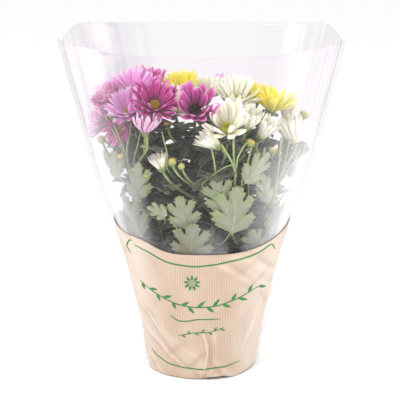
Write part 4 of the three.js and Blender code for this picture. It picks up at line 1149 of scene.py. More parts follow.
@dataclass(frozen=True)
class Cutting:
    """One rooted cutting: where it stands, where its stem ends, and the compass turn of its first leaf."""

    name: str
    foot: tuple[float, float]
    crown: tuple[float, float, float]
    turn: float

    def curve(self) -> Bezier:
        """The main stem above the soil: straight up from the foot, and on towards the crown."""
        start, end = vec(*self.foot, STEM_FOOT), vec(*self.crown)
        lean = end - start
        up = vec(0, 0, 1)
        leave, arrive = start + up * lean[2] * 0.4, end - lean * 0.25 - up * lean[2] * 0.1
        return Bezier(np.stack([start, leave, arrive, end]))


@dataclass(frozen=True)
class Whorl:
    """One ring of fine petals. depth is 0 at the solid's outer whorl and 1 at its inner one."""

    depth: float
    count: int
    length: float = 1.0
    width: float = 1.0
    bowl: float = 0.0  # degrees that the petals curve in beyond the solid's


class Habit(Enum):
    """How a bloom opens: petals in a whorl of the solid, length, width, opening and curl, whorls."""

    DAISY = (8, 25, 8.0, 50, -10, (Whorl(-0.05, 9, 1.02, 1.12), Whorl(0.8, 8, 0.97, 1.0)))
    FULL = (8, 25, 7.2, 56, -8, (Whorl(-0.1, 17, 1, 0.8), Whorl(0.4, 15, 0.98, 0.8), Whorl(1, 12, 0.9, 0.72)))
    CUP = (7, 23, 7, 40, -12, (Whorl(-0.1, 14, 1, 0.85), Whorl(0.5, 12, 1, 0.82), Whorl(1, 9, 0.9, 0.8)))
    FAN = (
        *(7, 23, 7.0, 40, -12),
        (Whorl(-0.9, 15, 1.1, 0.8, 22), Whorl(0.0, 13, 1.08, 0.8, 16), Whorl(0.8, 10, 1.0, 0.7, 10)),
    )
    BOWL = (7, 23, 7.0, 40, -12, (Whorl(-0.1, 11, 1.0, 1.1), Whorl(0.7, 9, 0.95, 1.0)))
    HALF = (6, 19, 4.0, 25, -4, (Whorl(0, 13), Whorl(0.6, 11, 1.0), Whorl(1.15, 9, 0.9)))
    SHUT = (
        *(6, 14, 3.2, 22, -4),
        (Whorl(-0.2, 15, 0.96, 0.8), Whorl(0.4, 12, 0.9, 0.75), Whorl(1, 9, 0.86, 0.8)),
    )

    def __init__(
        self, petals: int, length: float, width: float, opening: float, curl: float, whorls: tuple
    ) -> None:
        """Names the six values."""
        self.petals = petals
        self.length = length
        self.width_mm = width
        self.opening = opening
        self.curl = curl
        self.whorls = whorls


CLOSINGS = (0, 8, 16, 24, 34)
SHORTENINGS = (1, 0.8, 0.55)
LEAST_OPEN = 12
CORE_RADIUS = 4.3
DISC_ABOVE = 4.0
CALYX_DEPTH = 6.2


@dataclass(frozen=True)
class Bloom:
    """One flower head: its middle, the way it faces, and how it opens."""

    name: str
    cutting: int
    colour: str
    habit: Habit
    at: tuple[float, float, float]
    facing: tuple[float, float]
    size: float = 1.0
    eye: str = "yellow"

    @property
    def axis(self) -> Array:
        """The way that the bloom faces."""
        return direction_of(*self.facing)

    @property
    def seat(self) -> Array:
        """The foot of the petals."""
        return vec(*self.at) - self.axis * DISC_ABOVE

    def solid_tip(
        self, index: int, tier: int, j: int, closing: float, shortening: float
    ) -> tuple[float, float, Array, Array]:
        """The opening and length of one petal of the solid, and both corners of its tip."""
        habit, size, axis = self.habit, self.size, self.axis
        u, w = square_to(axis)
        key = index * 40 + tier * 20 + j
        turn = (j + 0.5 + tier * 0.5 + 0.12 * wobble(key, 1)) * 2 * math.pi / habit.petals
        spread = habit.opening * (0.66 if tier else 1) + 5 * wobble(key, 2) - closing
        opening = max(spread, LEAST_OPEN)
        length = habit.length * size * (0.94 if tier else 1) * (1 + 0.06 * wobble(key, 3)) * shortening
        out = u * math.cos(turn) + w * math.sin(turn)
        across = w * math.cos(turn) - u * math.sin(turn)
        first, second = math.radians(opening), math.radians(opening + habit.curl)
        half = length / 2
        radius = CORE_RADIUS * size + half * math.sin(first)
        height = tier + 0.5 + tier * 0.3 + half * math.cos(first)
        middle = self.seat + out * radius + axis * height
        tip = middle + half * (out * math.sin(second) + axis * math.cos(second))
        side = habit.width_mm * size / 2 * 0.45
        corners = [SHAPE.inside(tip + across * side * s, SHAPE.plant_margin) for s in (-1, 1)]
        return opening, length, corners[0], corners[1]

    def envelope(self, index: int, points: NodePoints) -> Array:
        """Opening and length of every petal of the solid: those whose tip is a corner of it.

        Args:
            index: the bloom's place in the list.
            points: the corners of its solid.

        Returns:
            An array of (tier, petal, 2): degrees open, and millimetres long.
        """
        found = np.zeros((2, self.habit.petals, 2))
        for tier in (0, 1):
            for j in range(self.habit.petals):
                found[tier, j] = self.solid_tip(index, tier, j, CLOSINGS[-1], 0.35)[:2]
                for shortening, closing in ((s, c) for s in SHORTENINGS for c in CLOSINGS):
                    opening, length, left, right = self.solid_tip(index, tier, j, closing, shortening)
                    if points.has(left) and points.has(right):
                        found[tier, j] = opening, length
                        break
        return found

    def whorl(self, index: int, number: int, whorl: Whorl, found: Array) -> Patch:
        """One ring of fine petals, all at once.

        The middle line starts under the disc and bends evenly: at a share s of the length it stands
        opening + curl * (2 s - 0.5) degrees off the axis. Across it the petal is a shallow trough. Its half
        width swells as a quarter sine to its broadest point and then falls as a rounded end.

        Args:
            index: the bloom's place in the list.
            number: the whorl's place in the bloom.
            whorl: its petal count and shares.
            found: what envelope returned.

        Returns:
            The ring as one patch.
        """
        habit, size, axis = self.habit, self.size, self.axis
        count = whorl.count
        key = index * 10 + number
        step = 2 * np.pi / count
        turn = (np.arange(count) + 0.5 * number + 0.3 * wobbles(count, key)) * step
        n = habit.petals
        places = [(np.arange(n) + 0.5 + 0.5 * t) * 2 * np.pi / n for t in (0, 1)]
        tiers = [
            [np.interp(turn, places[t], found[t, :, k], period=2 * np.pi) for k in (0, 1)]
            for t in (0, 1)
        ]
        opening = tiers[0][0] + (tiers[1][0] - tiers[0][0]) * whorl.depth + 3.5 * wobbles(count, key + 1)
        length = tiers[0][1] + (tiers[1][1] - tiers[0][1]) * max(whorl.depth, 0)
        length = length * whorl.length * (1 + 0.05 * wobbles(count, key + 2))
        opening = np.radians(np.maximum(opening, 7))[:, None, None]
        curl = math.radians(habit.curl) * (1 + 0.8 * wobbles(count, key + 3))[:, None, None]
        curl = curl - math.radians(whorl.bowl) / 2
        inward = 1.9 * size
        full = (length + inward)[:, None, None]
        s = np.linspace(0, 1, 11)[None, :, None]
        t = np.linspace(-1, 1, 5)[None, None, :]
        bend = np.where(np.abs(curl) < 1e-3, 1e-3, curl) * 2
        start = opening - 0.25 * bend
        angle = start + bend * s
        foot = CORE_RADIUS * size - inward * np.sin(opening)
        rise = 0.5 + 1.3 * max(whorl.depth, 0) - inward * np.cos(opening)
        radius = foot + full * (np.cos(start) - np.cos(angle)) / bend
        height = rise + full * (np.sin(angle) - np.sin(start)) / bend
        sway = 0.035 * full * s**2 * wobbles(count, key + 4)[:, None, None]
        peak = 0.6
        grow = 0.34 + 0.66 * np.sin(np.pi / 2 * np.minimum(s / peak, 1)) ** 1.3
        fall = np.sqrt(np.clip(1 - (np.maximum(s - peak, 0) / (1.005 - peak)) ** 2.6, 0.012, 1))
        half = habit.width_mm * size * 0.42 * whorl.width * grow * fall
        half = half * (1 + 0.1 * wobbles(count, key + 5))[:, None, None]
        trough = half * (0.46 * t**2 - 0.25) * 4 * s * (1 - s) + 0.1 * np.cos(3 * np.pi * t) * (1 - s) * s * 4
        notch = -0.5 * smooth(0.9, 1.0, s) * np.cos(np.pi * 1.5 * t) ** 2
        out, across = spokes(axis, turn)
        face = axis * np.sin(angle)[..., None] - out * np.cos(angle)[..., None]
        onward = out * np.sin(angle)[..., None] + axis * np.cos(angle)[..., None]
        middle = self.seat + out * radius[..., None] + axis * height[..., None]
        mid = middle + across * (t * half + sway)[..., None]
        mid = mid + face * trough[..., None] + onward * notch[..., None]
        mid = SHAPE.inside(mid, 1.9)
        thick = face * (0.2 * (1 - 0.55 * t**2) * (1 - 0.4 * s))[..., None]
        uv = np.stack(np.broadcast_arrays(0.5 + 0.5 * t[0], s[0]), -1)
        return sheet(mid + thick, mid - thick, uv, 0.5 + 0.5 * wobbles(count, key + 6))

    def receptacle(self) -> Patch:
        """The green cushion that the petals and the disc stand on."""
        radii, heights = [3.4, 3.8, 3.7, 3.2], [-0.2, 0.2, 1.4, 2.2]
        return turned(ringed(self.seat, self.axis, 16, radii, heights, self.size), finish=1)

    def build_petals(self, index: int, node: Object, dyes: dict) -> Object:
        """All the petals as one piece that stands for the solid's."""
        found = self.envelope(index, NodePoints(node))
        whorls = [self.whorl(index, k, whorl, found) for k, whorl in enumerate(self.habit.whorls)]
        made = Patch.joined(whorls + [self.receptacle()]).into_object(
            f"bloom_{self.name}", [dyes[self.colour], dyes["calyx"]]
        )
        return placed(made, f"petals_{self.colour}", node.name)

    def build_disc(self, dyes: dict) -> Object:
        """The domed disc with its florets, set out by the golden angle from the middle to the rim."""
        u, w = square_to(self.axis)
        size = self.size
        base = self.seat + self.axis * 2.3
        radii, heights = [3.9, 4.35, 4.1, 3.3, 2.1, 0.9], [0.0, 0.6, 1.5, 2.1, 2.45, 2.6]
        dome = turned(ringed(base, self.axis, 20, radii, heights, size), along=np.linspace(1, 0, 6))
        count = 72
        k = np.arange(count)
        share = np.sqrt((k + 0.5) / count)
        turn = k * GOLDEN_ANGLE
        reach = share * 4.15 * size
        lift = 0.2 + 2.35 * np.sqrt(np.clip(1 - (share * 0.97) ** 2, 0, 1))
        out = np.cos(turn)[:, None] * u + np.sin(turn)[:, None] * w
        lean = unit(self.axis + out * (1.1 * share**2)[:, None])
        foot = base + out * reach[:, None] + self.axis * lift[:, None]
        fu, fw = square_to(lean)
        ring = np.linspace(0, 2 * np.pi, 5, endpoint=False)
        circle = fu[:, None] * np.cos(ring)[:, None] + fw[:, None] * np.sin(ring)[:, None]
        radii = (np.array([0.34, 0.42, 0.2]) * size)[None, :, None, None]
        rises = np.array([-0.25, 0.55, 0.85])[None, :, None, None] * (1 + 0.25 * share[:, None, None, None])
        florets = turned(foot[:, None, None] + circle[:, None] * radii + lean[:, None, None] * rises)
        florets.uv[:, 1] = np.repeat(share, 17)
        dye = "disc_green" if self.colour in ("white", "cream") else f"disc_{self.eye}"
        made = Patch.joined([dome, florets]).into_object(f"eye_{self.name}", [dyes[dye]])
        return placed(made, f"disc_{self.eye}", f"disc_{self.name}")


@dataclass(frozen=True)
class Bud:
    """One bud: its cutting, its top and its radius."""

    cutting: int
    at: tuple[float, float, float]
    radius: float


@dataclass(frozen=True)
class PressedLeaf:
    """A leaf that the film presses flat: where its stalk leaves the stem, and x and z of its base and tip."""

    cutting: int
    start: float
    base: tuple[float, float]
    tip: tuple[float, float]
    width: float
    depth: float = 0.0
    side: int = -1


# Half a leaf's edge from its stalk to its tip. Each row holds the share of the length, the share of the half
# width, where on the midrib the vein to that point starts, and how strongly a vein ends there, up to 1.
LEAF_EDGE = np.array(
    [
        (0.00, 0.03, 0.00, 0.0), (0.07, 0.05, 0.03, 0.0), (0.10, 0.20, 0.04, 0.0), (0.14, 0.44, 0.05, 0.0),
        (0.18, 0.69, 0.06, 0.5), (0.245, 0.59, 0.07, 0.0), (0.28, 0.88, 0.08, 0.6), (0.34, 0.76, 0.09, 0.0),
        (0.40, 1.00, 0.10, 0.8), (0.43, 0.80, 0.12, 0.0), (0.50, 0.83, 0.14, 0.5), (0.465, 0.64, 0.16, 0.0),
        (0.42, 0.47, 0.19, 0.0), (0.52, 0.51, 0.21, 0.0), (0.60, 0.58, 0.22, 0.0), (0.64, 0.77, 0.23, 0.5),
        (0.695, 0.65, 0.24, 0.0), (0.75, 0.87, 0.25, 0.8), (0.77, 0.68, 0.27, 0.0), (0.85, 0.74, 0.29, 0.7),
        (0.80, 0.55, 0.32, 0.0), (0.85, 0.51, 0.35, 0.4), (0.75, 0.40, 0.39, 0.0), (0.675, 0.31, 0.43, 0.0),
        (0.79, 0.27, 0.47, 0.0), (0.86, 0.36, 0.51, 0.6), (0.89, 0.22, 0.57, 0.0), (0.95, 0.26, 0.63, 0.6),
        (0.965, 0.12, 0.77, 0.0), (1.00, 0.02, 0.94, 1.0),
    ]
)


@dataclass(frozen=True)
class Blade:
    """One leaf blade: it leaves base along heading, bends away from up, and folds up at its sides."""

    base: Array
    heading: Array
    up: Array
    length: float
    width: float
    bend: float = 58.0
    fold: float = 0.25
    depth: float = 0.0

    @staticmethod
    def arched(base: Array, compass: float, pitch: float, length: float) -> "Blade":
        """A blade towards a compass direction, pitch degrees above level."""
        a, rise = math.radians(compass), math.radians(pitch)
        out = vec(math.cos(a), math.sin(a), 0)
        heading = out * math.cos(rise) + vec(0, 0, math.sin(rise))
        up = vec(0, 0, math.cos(rise)) - out * math.sin(rise)
        return Blade(base, heading, up, length, 19 * length / 45)

    def spine(self, t: Array) -> Array:
        """The midrib: an arc that starts along heading and turns evenly away from up."""
        beta = math.radians(self.bend)
        t = np.asarray(t, float)[..., None]
        reach, drop = np.sin(beta * t) / beta, (np.cos(beta * t) - 1) / beta
        return self.base + self.length * (self.heading * reach + self.up * drop)

    def normal(self, t: Array) -> Array:
        """The upper side's direction along the midrib."""
        turn = math.radians(self.bend) * np.asarray(t, float)[..., None]
        return self.up * np.cos(turn) + self.heading * np.sin(turn)

    def tip(self) -> Array:
        """The blade's end, kept inside the film."""
        return SHAPE.inside(self.spine(1.0), SHAPE.plant_margin + self.depth)

    def patch(self, key: int) -> Patch:
        """The lobed blade as a closed sheet.

        Each row runs from a place on the midrib out to a point of LEAF_EDGE, on both sides, so the rows fan
        out into the lobes as the veins do. The sides fold up from the midrib and their margins ruffle.

        Args:
            key: a whole number that sets the leaf's own ruffles.

        Returns:
            The blade, its lower faces with the next finish.
        """
        side = np.cross(self.up, self.heading)
        detail = 1 if self.depth > 5 else 2
        along, out, root, vein = (k[:, None] for k in rounded(LEAF_EDGE, detail).T)
        t = np.linspace(-1, 1, 9)[None, :]
        own = 1 + 0.05 * wobble(key, 10) * np.sin(9 * along + 2 * np.sign(t))
        forward = np.clip(root + (along - root) * np.abs(t) ** 1.1, 0, 1)
        reach = t * np.maximum(out, 0.02) * self.width * own
        waves = np.sin(9 * along + 1.7 * np.sign(t) + 2 * wobble(key, 11))
        ruffle = 0.9 * waves * t**2 * min(1.0, self.fold * 4)
        folded = np.abs(reach) * math.sin(self.fold) + ruffle * smooth(0.05, 0.3, along)
        normal = self.normal(forward)
        aside = side * (reach * math.cos(self.fold))[..., None]
        mid = self.spine(forward) + aside + normal * folded[..., None]
        mid = SHAPE.inside(mid, SHAPE.plant_margin + self.depth)
        rib = 0.5 * bell(reach, 0, 0.9) * smooth(1.0, 0.6, along)
        raised = 0.3 * vein**2 * smooth(1.0, 0.5, np.abs(t))
        upper = mid + normal * (0.22 - 0.5 * raised - 0.15 * bell(reach, 0, 0.6))[..., None]
        lower = mid - normal * (0.22 + rib + raised)[..., None]
        uv = np.stack(np.broadcast_arrays(0.5 + 0.5 * t, vein), -1)
        return sheet(upper, lower, uv, 0.5 + 0.5 * wobble(key, 12), 0, True)


@dataclass(frozen=True)
class Shoot:
    """A thin side stem of a plant, which runs up just inside the film's front."""

    cutting: int
    start: float  # height where it leaves the main stem
    way: tuple[tuple[float, float, float], ...]  # across, up, and how deep behind the film, in millimetres
    radius: float = 1.0

    def tube(self, root: Array) -> Patch:
        """The shoot from its root on the stem through the points of its way, thinner towards its end."""
        on = [SHAPE.spot(x, z, -1, SHAPE.plant_margin + depth) for x, z, depth in self.way]
        path = rounded(np.stack([root, *on]), 5)
        return tube(path, np.linspace(self.radius, self.radius * 0.75, len(path)), 8, 0.05)


CUTTINGS = (
    Cutting("magenta_front", (-34, -14), (-52, -30, 200), 200),
    Cutting("pink_back", (-28, 24), (-54, 16, 212), 150),
    Cutting("white_front", (8, -36), (14, -42, 192), 280),
    Cutting("magenta_centre", (-6, -4), (-8, -4, 206), 60),
    Cutting("white_right", (38, -8), (58, -14, 188), 330),
    Cutting("yellow_back", (16, 32), (22, 36, 206), 80),
)
BLOOMS = (
    Bloom("magenta_1", 0, "magenta", Habit.FULL, (-42, -45, 262), (-78, 40)),
    Bloom("pink_1", 0, "pink", Habit.FULL, (-66, -40, 255), (-108, 34), 0.88),
    Bloom("pink_2", 1, "pink", Habit.FULL, (-62, -4, 266), (-100, 17), 0.92),
    Bloom("pale_pink_1", 0, "pale_pink", Habit.FAN, (-50, -62, 245), (-60, 5), 0.76),
    Bloom("magenta_2", 0, "magenta", Habit.CUP, (-72, -44, 240), (-112, 102), 0.8),
    Bloom("pale_pink_2", 1, "pale_pink", Habit.FULL, (-90, -8, 238), (190, 74), 0.9),
    Bloom("magenta_3", 1, "magenta", Habit.FULL, (-82, -22, 259), (-150, 36), 0.8),
    Bloom("pink_3", 1, "pink", Habit.FULL, (-80, 22, 258), (130, 22), 0.9),
    Bloom("magenta_4", 1, "magenta", Habit.CUP, (-50, 20, 263), (80, 12)),
    Bloom("deep_magenta_1", 3, "deep_magenta", Habit.BOWL, (-6, -48, 258), (-90, 50), 1.14, "dark"),
    Bloom("cream_1", 3, "cream", Habit.FULL, (-23, -24, 254), (-84, 36), 0.8),
    Bloom("pink_5", 3, "pink", Habit.HALF, (22, 46, 254), (80, 6)),
    Bloom("yellow_1", 5, "yellow", Habit.FULL, (-19, 28, 257), (-100, 12), 0.94),
    Bloom("yellow_2", 5, "yellow", Habit.FULL, (64, -4, 250), (20, 12), 1.04),
    Bloom("yellow_3", 5, "yellow", Habit.FULL, (50, 42, 246), (60, 22), 0.9),
    Bloom("cream_2", 3, "cream", Habit.FULL, (5, 12, 258), (-90, 14), 0.86),
    Bloom("white_1", 2, "white", Habit.DAISY, (22, -57, 244), (-104, 42), 1.08),
    Bloom("white_2", 4, "white", Habit.FULL, (32, -10, 259), (-76, 26), 0.94),
    Bloom("white_3", 2, "white", Habit.CUP, (41, -40, 243), (-40, 16), 0.88),
    Bloom("white_4", 4, "white", Habit.HALF, (55, -42, 235), (-20, 28), 0.95),
    Bloom("white_5", 2, "white", Habit.HALF, (10, -60, 230), (200, 50), 0.95),
    Bloom("white_6", 2, "white", Habit.SHUT, (-38, -62, 212), (210, 24), 0.92),
    Bloom("white_7", 4, "white", Habit.HALF, (83, -12, 223), (170, 14), 1.25),
    Bloom("white_8", 4, "cream", Habit.HALF, (80, 24, 234), (60, 20), 0.9),
    Bloom("pink_6", 1, "pink", Habit.FULL, (-52, 50, 242), (110, 40), 0.9),
    Bloom("yellow_4", 5, "yellow", Habit.DAISY, (-8, 58, 240), (92, 38), 0.92),
)
BUDS = (
    Bud(0, (-73, -50, 217), 3.4),
    Bud(1, (-92, -22, 226), 4.0),
    Bud(2, (-28, -62, 216), 4.2),
    Bud(2, (-19, -62, 211), 3.2),
    Bud(0, (-50, -62, 203), 3.6),
    Bud(3, (-32, -38, 243), 3.6),
    Bud(2, (44, -58, 232), 4.2),
    Bud(4, (64, -40, 220), 3.6),
    Bud(4, (95, 6, 243), 4.4),
    Bud(4, (66, -48, 180), 2.8),
    Bud(5, (30, 66, 222), 3.8),
    Bud(1, (-84, 38, 226), 3.8),
)
PRESSED_LEAVES = (
    PressedLeaf(2, 128, (27, 145), (33, 194), 0.5),
    PressedLeaf(2, 154, (22, 168), (11, 202), 0.5, 3),
    PressedLeaf(2, 134, (-14, 150), (-21, 184), 0.5, 3),
    PressedLeaf(2, 110, (-11, 120), (-8, 159), 0.56),
    PressedLeaf(0, 150, (-60, 174), (-57, 215), 0.38),
    PressedLeaf(4, 158, (37, 194), (61, 223), 0.34),
    PressedLeaf(0, 124, (-54, 137), (-74, 180), 0.34),
    PressedLeaf(0, 168, (-74, 194), (-90, 218), 0.42),
    PressedLeaf(0, 140, (-30, 165), (-50, 171), 0.4),
    PressedLeaf(4, 148, (60, 171), (54, 205), 0.3),
    PressedLeaf(4, 122, (60, 139), (80, 170), 0.36),
    PressedLeaf(4, 112, (54, 124), (44, 150), 0.5),
    PressedLeaf(5, 128, (22, 140), (26, 186), 0.5, side=1),
    PressedLeaf(1, 126, (-36, 138), (-44, 182), 0.5, side=1),
    PressedLeaf(5, 150, (56, 168), (64, 206), 0.42, side=1),
)
SHOOTS = (
    Shoot(2, 168, ((12, 200, 9), (11, 213, 8), (8, 228, 9))),
    Shoot(2, 150, ((27, 184, 9), (29, 196, 6), (28, 211, 5), (17, 231, 8)), 1.3),
    Shoot(2, 160, ((29, 198, 7), (29, 208, 6), (28, 223, 8), (28, 240, 14)), 1.2),
    Shoot(2, 170, ((29, 206, 7), (32, 219, 7), (39, 231, 10))),
    Shoot(2, 160, ((33, 186, 8), (36, 196, 6), (40, 210, 6), (44, 227, 8)), 1.2),
    Shoot(2, 172, ((0, 192, 6), (10, 203, 5), (20, 210, 5), (27, 212, 6)), 0.7),
    Shoot(4, 140, ((61, 166, 8), (66, 186, 6), (69, 208, 6), (71, 232, 12)), 1.2),
    Shoot(4, 146, ((64, 172, 8), (68, 189, 6), (76, 205, 5), (86, 221, 8))),
    Shoot(4, 150, ((64, 176, 9), (71, 190, 6), (80, 202, 5), (89, 213, 7)), 0.8),
    Shoot(4, 150, ((66, 182, 9), (70, 194, 7), (75, 210, 7), (79, 228, 11)), 0.9),
    Shoot(4, 166, ((53, 196, 9), (54, 208, 8), (56, 224, 12))),
    Shoot(4, 134, ((56, 150, 8), (66, 164, 5), (76, 178, 5), (86, 192, 7)), 0.8),
    Shoot(0, 160, ((-63, 198, 10), (-67, 214, 6), (-72, 229, 5), (-82, 252, 9))),
    Shoot(0, 156, ((-66, 198, 10), (-70, 216, 7), (-76, 231, 6), (-87, 251, 9)), 0.9),
    Shoot(0, 164, ((-64, 204, 8), (-67, 220, 6), (-66, 230, 7), (-63, 247, 14))),
    Shoot(0, 158, ((-57, 196, 9), (-56, 212, 7), (-49, 225, 7), (-49, 240, 9)), 1.3),
    Shoot(0, 162, ((-58, 200, 10), (-61, 212, 8), (-57, 228, 10), (-54, 243, 16)), 0.9),
    Shoot(3, 166, ((-30, 204, 12), (-31, 220, 12), (-36, 240, 18)), 0.9),
)
NO_STALK = np.zeros((0, 3))
LEAF_TURNS = (0, 24, -24, 48, -48, 76, -76, 105, -105)
LEAF_SCALES = (1, 0.78)
LEAF_LENGTH = 45.0
INNER_LEAVES = 11  # shaded ones deep in each plant, finer than its solid tells apart


@dataclass
class Plant:
    """One cutting with its stem, branches, calyces, buds and leaves."""

    index: int
    node: Object

    def __post_init__(self) -> None:
        """Finds the cutting, its main curve and the corners of its solid."""
        self.cutting = CUTTINGS[self.index]
        self.curve = self.cutting.curve()
        self.points = NodePoints(self.node)
        self.blooms = [(k, b) for k, b in enumerate(BLOOMS) if b.cutting == self.index]

    def stem_point(self, z: float) -> Array:
        """The point of the main stem at a height, found by halving."""
        low, high = 0.0, 1.0
        for _ in range(30):
            middle = (low + high) / 2
            if self.curve.at(middle)[2] < z:
                low = middle
            else:
                high = middle
        return self.curve.at(low)

    def branch(self, end: Array, axis: Array) -> Bezier:
        """The branch to end, which it reaches along axis. It leaves the stem lower for an end further out."""
        crown = vec(*self.cutting.crown)
        out = math.hypot(end[0] - crown[0], end[1] - crown[1])
        height = min(end[2] - 14 - 0.75 * out, crown[2])
        share = min(max((height - STEM_FOOT) / (crown[2] - STEM_FOOT), 0.35), 1)
        start = self.curve.at(share)
        reach = end - start
        length = float(np.linalg.norm(reach))
        leave = unit(self.curve.heading(share) + reach / length)
        return Bezier(np.stack([start, start + leave * length * 0.38, end - axis * length * 0.34, end]))

    def wood(self) -> list[Patch]:
        """The main stem and a branch to each bloom and bud, all round and low-ribbed."""
        foot = vec(*self.cutting.foot, ROOT_END)
        buried = [foot, (foot + self.curve.points[0]) / 2]
        path = np.concatenate([buried, self.curve.at(np.linspace(0, 1, 22))])
        made = [tube(path, np.linspace(2.4, 1.7, len(path)), 10, 0.06)]
        steps = np.linspace(0, 1, 15)
        radii = 1.5 - 0.35 * steps
        for _, bloom in self.blooms:
            end = bloom.seat - bloom.axis * CALYX_DEPTH
            made.append(tube(self.branch(end, bloom.axis).at(steps), radii, 8, 0.05))
        for _, axis, end in self.bud_ends():
            made.append(tube(self.branch(end, axis).at(steps), radii * 0.92, 8, 0.05))
        return made

    def bud_ends(self) -> list[tuple[Bud, Array, Array]]:
        """Each bud of this plant, the way it points, and where its branch ends."""
        made = []
        for bud in BUDS:
            if bud.cutting != self.index:
                continue
            out = vec(*bud.at) - vec(*self.cutting.crown)
            out[2] = 0
            axis = unit(vec(0, 0, 1) + unit(out) * 0.35)
            made.append((bud, axis, vec(*bud.at) - axis * 1.7 * bud.radius))
        return made

    def calyces(self) -> list[Patch]:
        """A green cup under each bloom, its wall a smooth swell with thirteen ribs, and bracts laid up it."""
        made = []
        a = np.linspace(0, 2 * np.pi, 26, endpoint=False)[None, :, None]
        for key, bloom in self.blooms:
            size = min(1.0, bloom.size)
            u, w = square_to(bloom.axis)
            heights = np.array([-6.6, -6.0, -5.0, -3.8, -2.4, -1.2, -0.5, -0.2])[:, None, None]
            radii = np.array([1.1, 1.5, 2.5, 3.3, 3.9, 4.3, 4.3, 3.4])[:, None, None] * size
            ribs = 1 + 0.05 * np.cos(13 * a) * smooth(-6, -2, heights)
            circle = u * np.cos(a) + w * np.sin(a)
            made.append(turned(bloom.seat + radii * ribs * circle + bloom.axis * heights, finish=3))
            made.append(self.bracts(bloom.seat, bloom.axis, size, key))
        return made

    def bracts(self, seat: Array, axis: Array, size: float, key: int) -> Patch:
        """Two rings of small pointed scales that lie up the calyx, their width a half sine of the way up."""
        count = 22
        k = np.arange(count)
        turn = k * 2 * np.pi / 11 + (k >= 11) * np.pi / 11 + 0.1 * wobbles(count, key)
        low = np.where(k >= 11, -3.6, -5.4)[:, None, None]
        s = np.linspace(0, 1, 5)[None, :, None]
        t = np.linspace(-1, 1, 3)[None, None, :]
        height = low + 4.3 * s
        heights, radii = [-6, -5, -3.8, -2.4, -1.2, 0.6], [1.6, 2.5, 3.3, 3.95, 4.45, 4.8]
        radius = np.interp(height, heights, radii) * size + 0.2
        half = 1.25 * size * np.sin(np.pi * (0.12 + 0.86 * s)) ** 0.8 * t
        out, across = spokes(axis, turn)
        mid = seat + out * (radius - 0.1 * t**2)[..., None]
        mid = mid + across * half[..., None] + axis * height[..., None]
        uv = np.stack(np.broadcast_arrays(0.5 + 0.5 * t[0], s[0]), -1)
        return sheet(mid - out * 0.14, mid + out * 0.14, uv, 0.5, 3)

    def buds(self) -> list[Patch]:
        """Closed buds: a ribbed ball that opens at the top to show the colour within."""
        made = []
        a = np.linspace(0, 2 * np.pi, 20, endpoint=False)[None, :, None]
        for bud, axis, _ in self.bud_ends():
            u, w = square_to(axis)
            heights = np.array([-1.75, -1.5, -1.2, -0.85, -0.5, -0.2, -0.04, 0.0])[:, None, None] * bud.radius
            radii = np.array([0.32, 0.68, 0.9, 1.0, 0.96, 0.76, 0.5, 0.2])[:, None, None] * bud.radius
            ribs = 1 + 0.06 * np.cos(10 * a)
            circle = u * np.cos(a) + w * np.sin(a)
            made.append(turned(vec(*bud.at) + radii * ribs * circle + axis * heights, finish=4))
        return made

    def blades(self) -> list[tuple[Blade, Array]]:
        """Every leaf of the solid, with the points of its stalk.

        A pressed leaf is where its row says. Each other site has several blades to choose from, and the
        one whose tip is a corner of the solid is the one that grew. Where none is, that leaf had no room.

        Returns:
            Pairs of a blade and its stalk, the stalk empty where the blade starts on the wood.
        """
        made = []
        for leaf in PRESSED_LEAVES:
            if leaf.cutting != self.index:
                continue
            margin = SHAPE.plant_margin + leaf.depth
            start, end = (SHAPE.spot(*place, leaf.side, margin) for place in (leaf.base, leaf.tip))
            heading = unit(end - start)
            outward = vec(0, leaf.side, 0)
            up = -unit(outward - heading * float(outward @ heading))
            length = float(np.linalg.norm(end - start))
            blade = Blade(start, heading, up, length, length * leaf.width, 4, 0.02, leaf.depth)
            root = self.stem_point(leaf.start)
            sag = root + (start - root) * 0.55 - vec(0, 0, 3)
            made.append((blade, np.stack([root, sag, start + heading * length * 0.16])))
        choices = [(scale, turn) for scale in LEAF_SCALES for turn in LEAF_TURNS]
        for base, compass, pitch, length in self.sites():
            for scale, turn in choices:
                blade = Blade.arched(base, compass + turn, pitch, length * scale)
                if self.points.has(blade.tip()):
                    made.append((blade, NO_STALK))
                    break
        crown = self.cutting.crown[2]
        for key, bloom in self.blooms:
            curve = self.branch(bloom.seat - bloom.axis * CALYX_DEPTH, bloom.axis)
            for k, share in enumerate((0.3, 0.55, 0.74)):
                compass = 120 * k + GOLDEN_DEGREES * key + 40 * wobble(key, 20 + k)
                blade = Blade.arched(curve.at(share), compass, 10 + 25 * wobble(key, 25 + k), 40 - 7 * k)
                made.append((replace(blade, depth=7.0), NO_STALK))
        for k in range(INNER_LEAVES):
            key = 1500 + self.index * 20 + k
            base = self.stem_point(108 + (crown - 110) * k / (INNER_LEAVES - 1))
            compass = self.cutting.turn + 70 + GOLDEN_DEGREES * k
            blade = Blade.arched(base, compass, 24 + 26 * wobble(key, 1), 44 + 7 * wobble(key, 2))
            made.append((replace(blade, depth=7.0), NO_STALK))
        return made

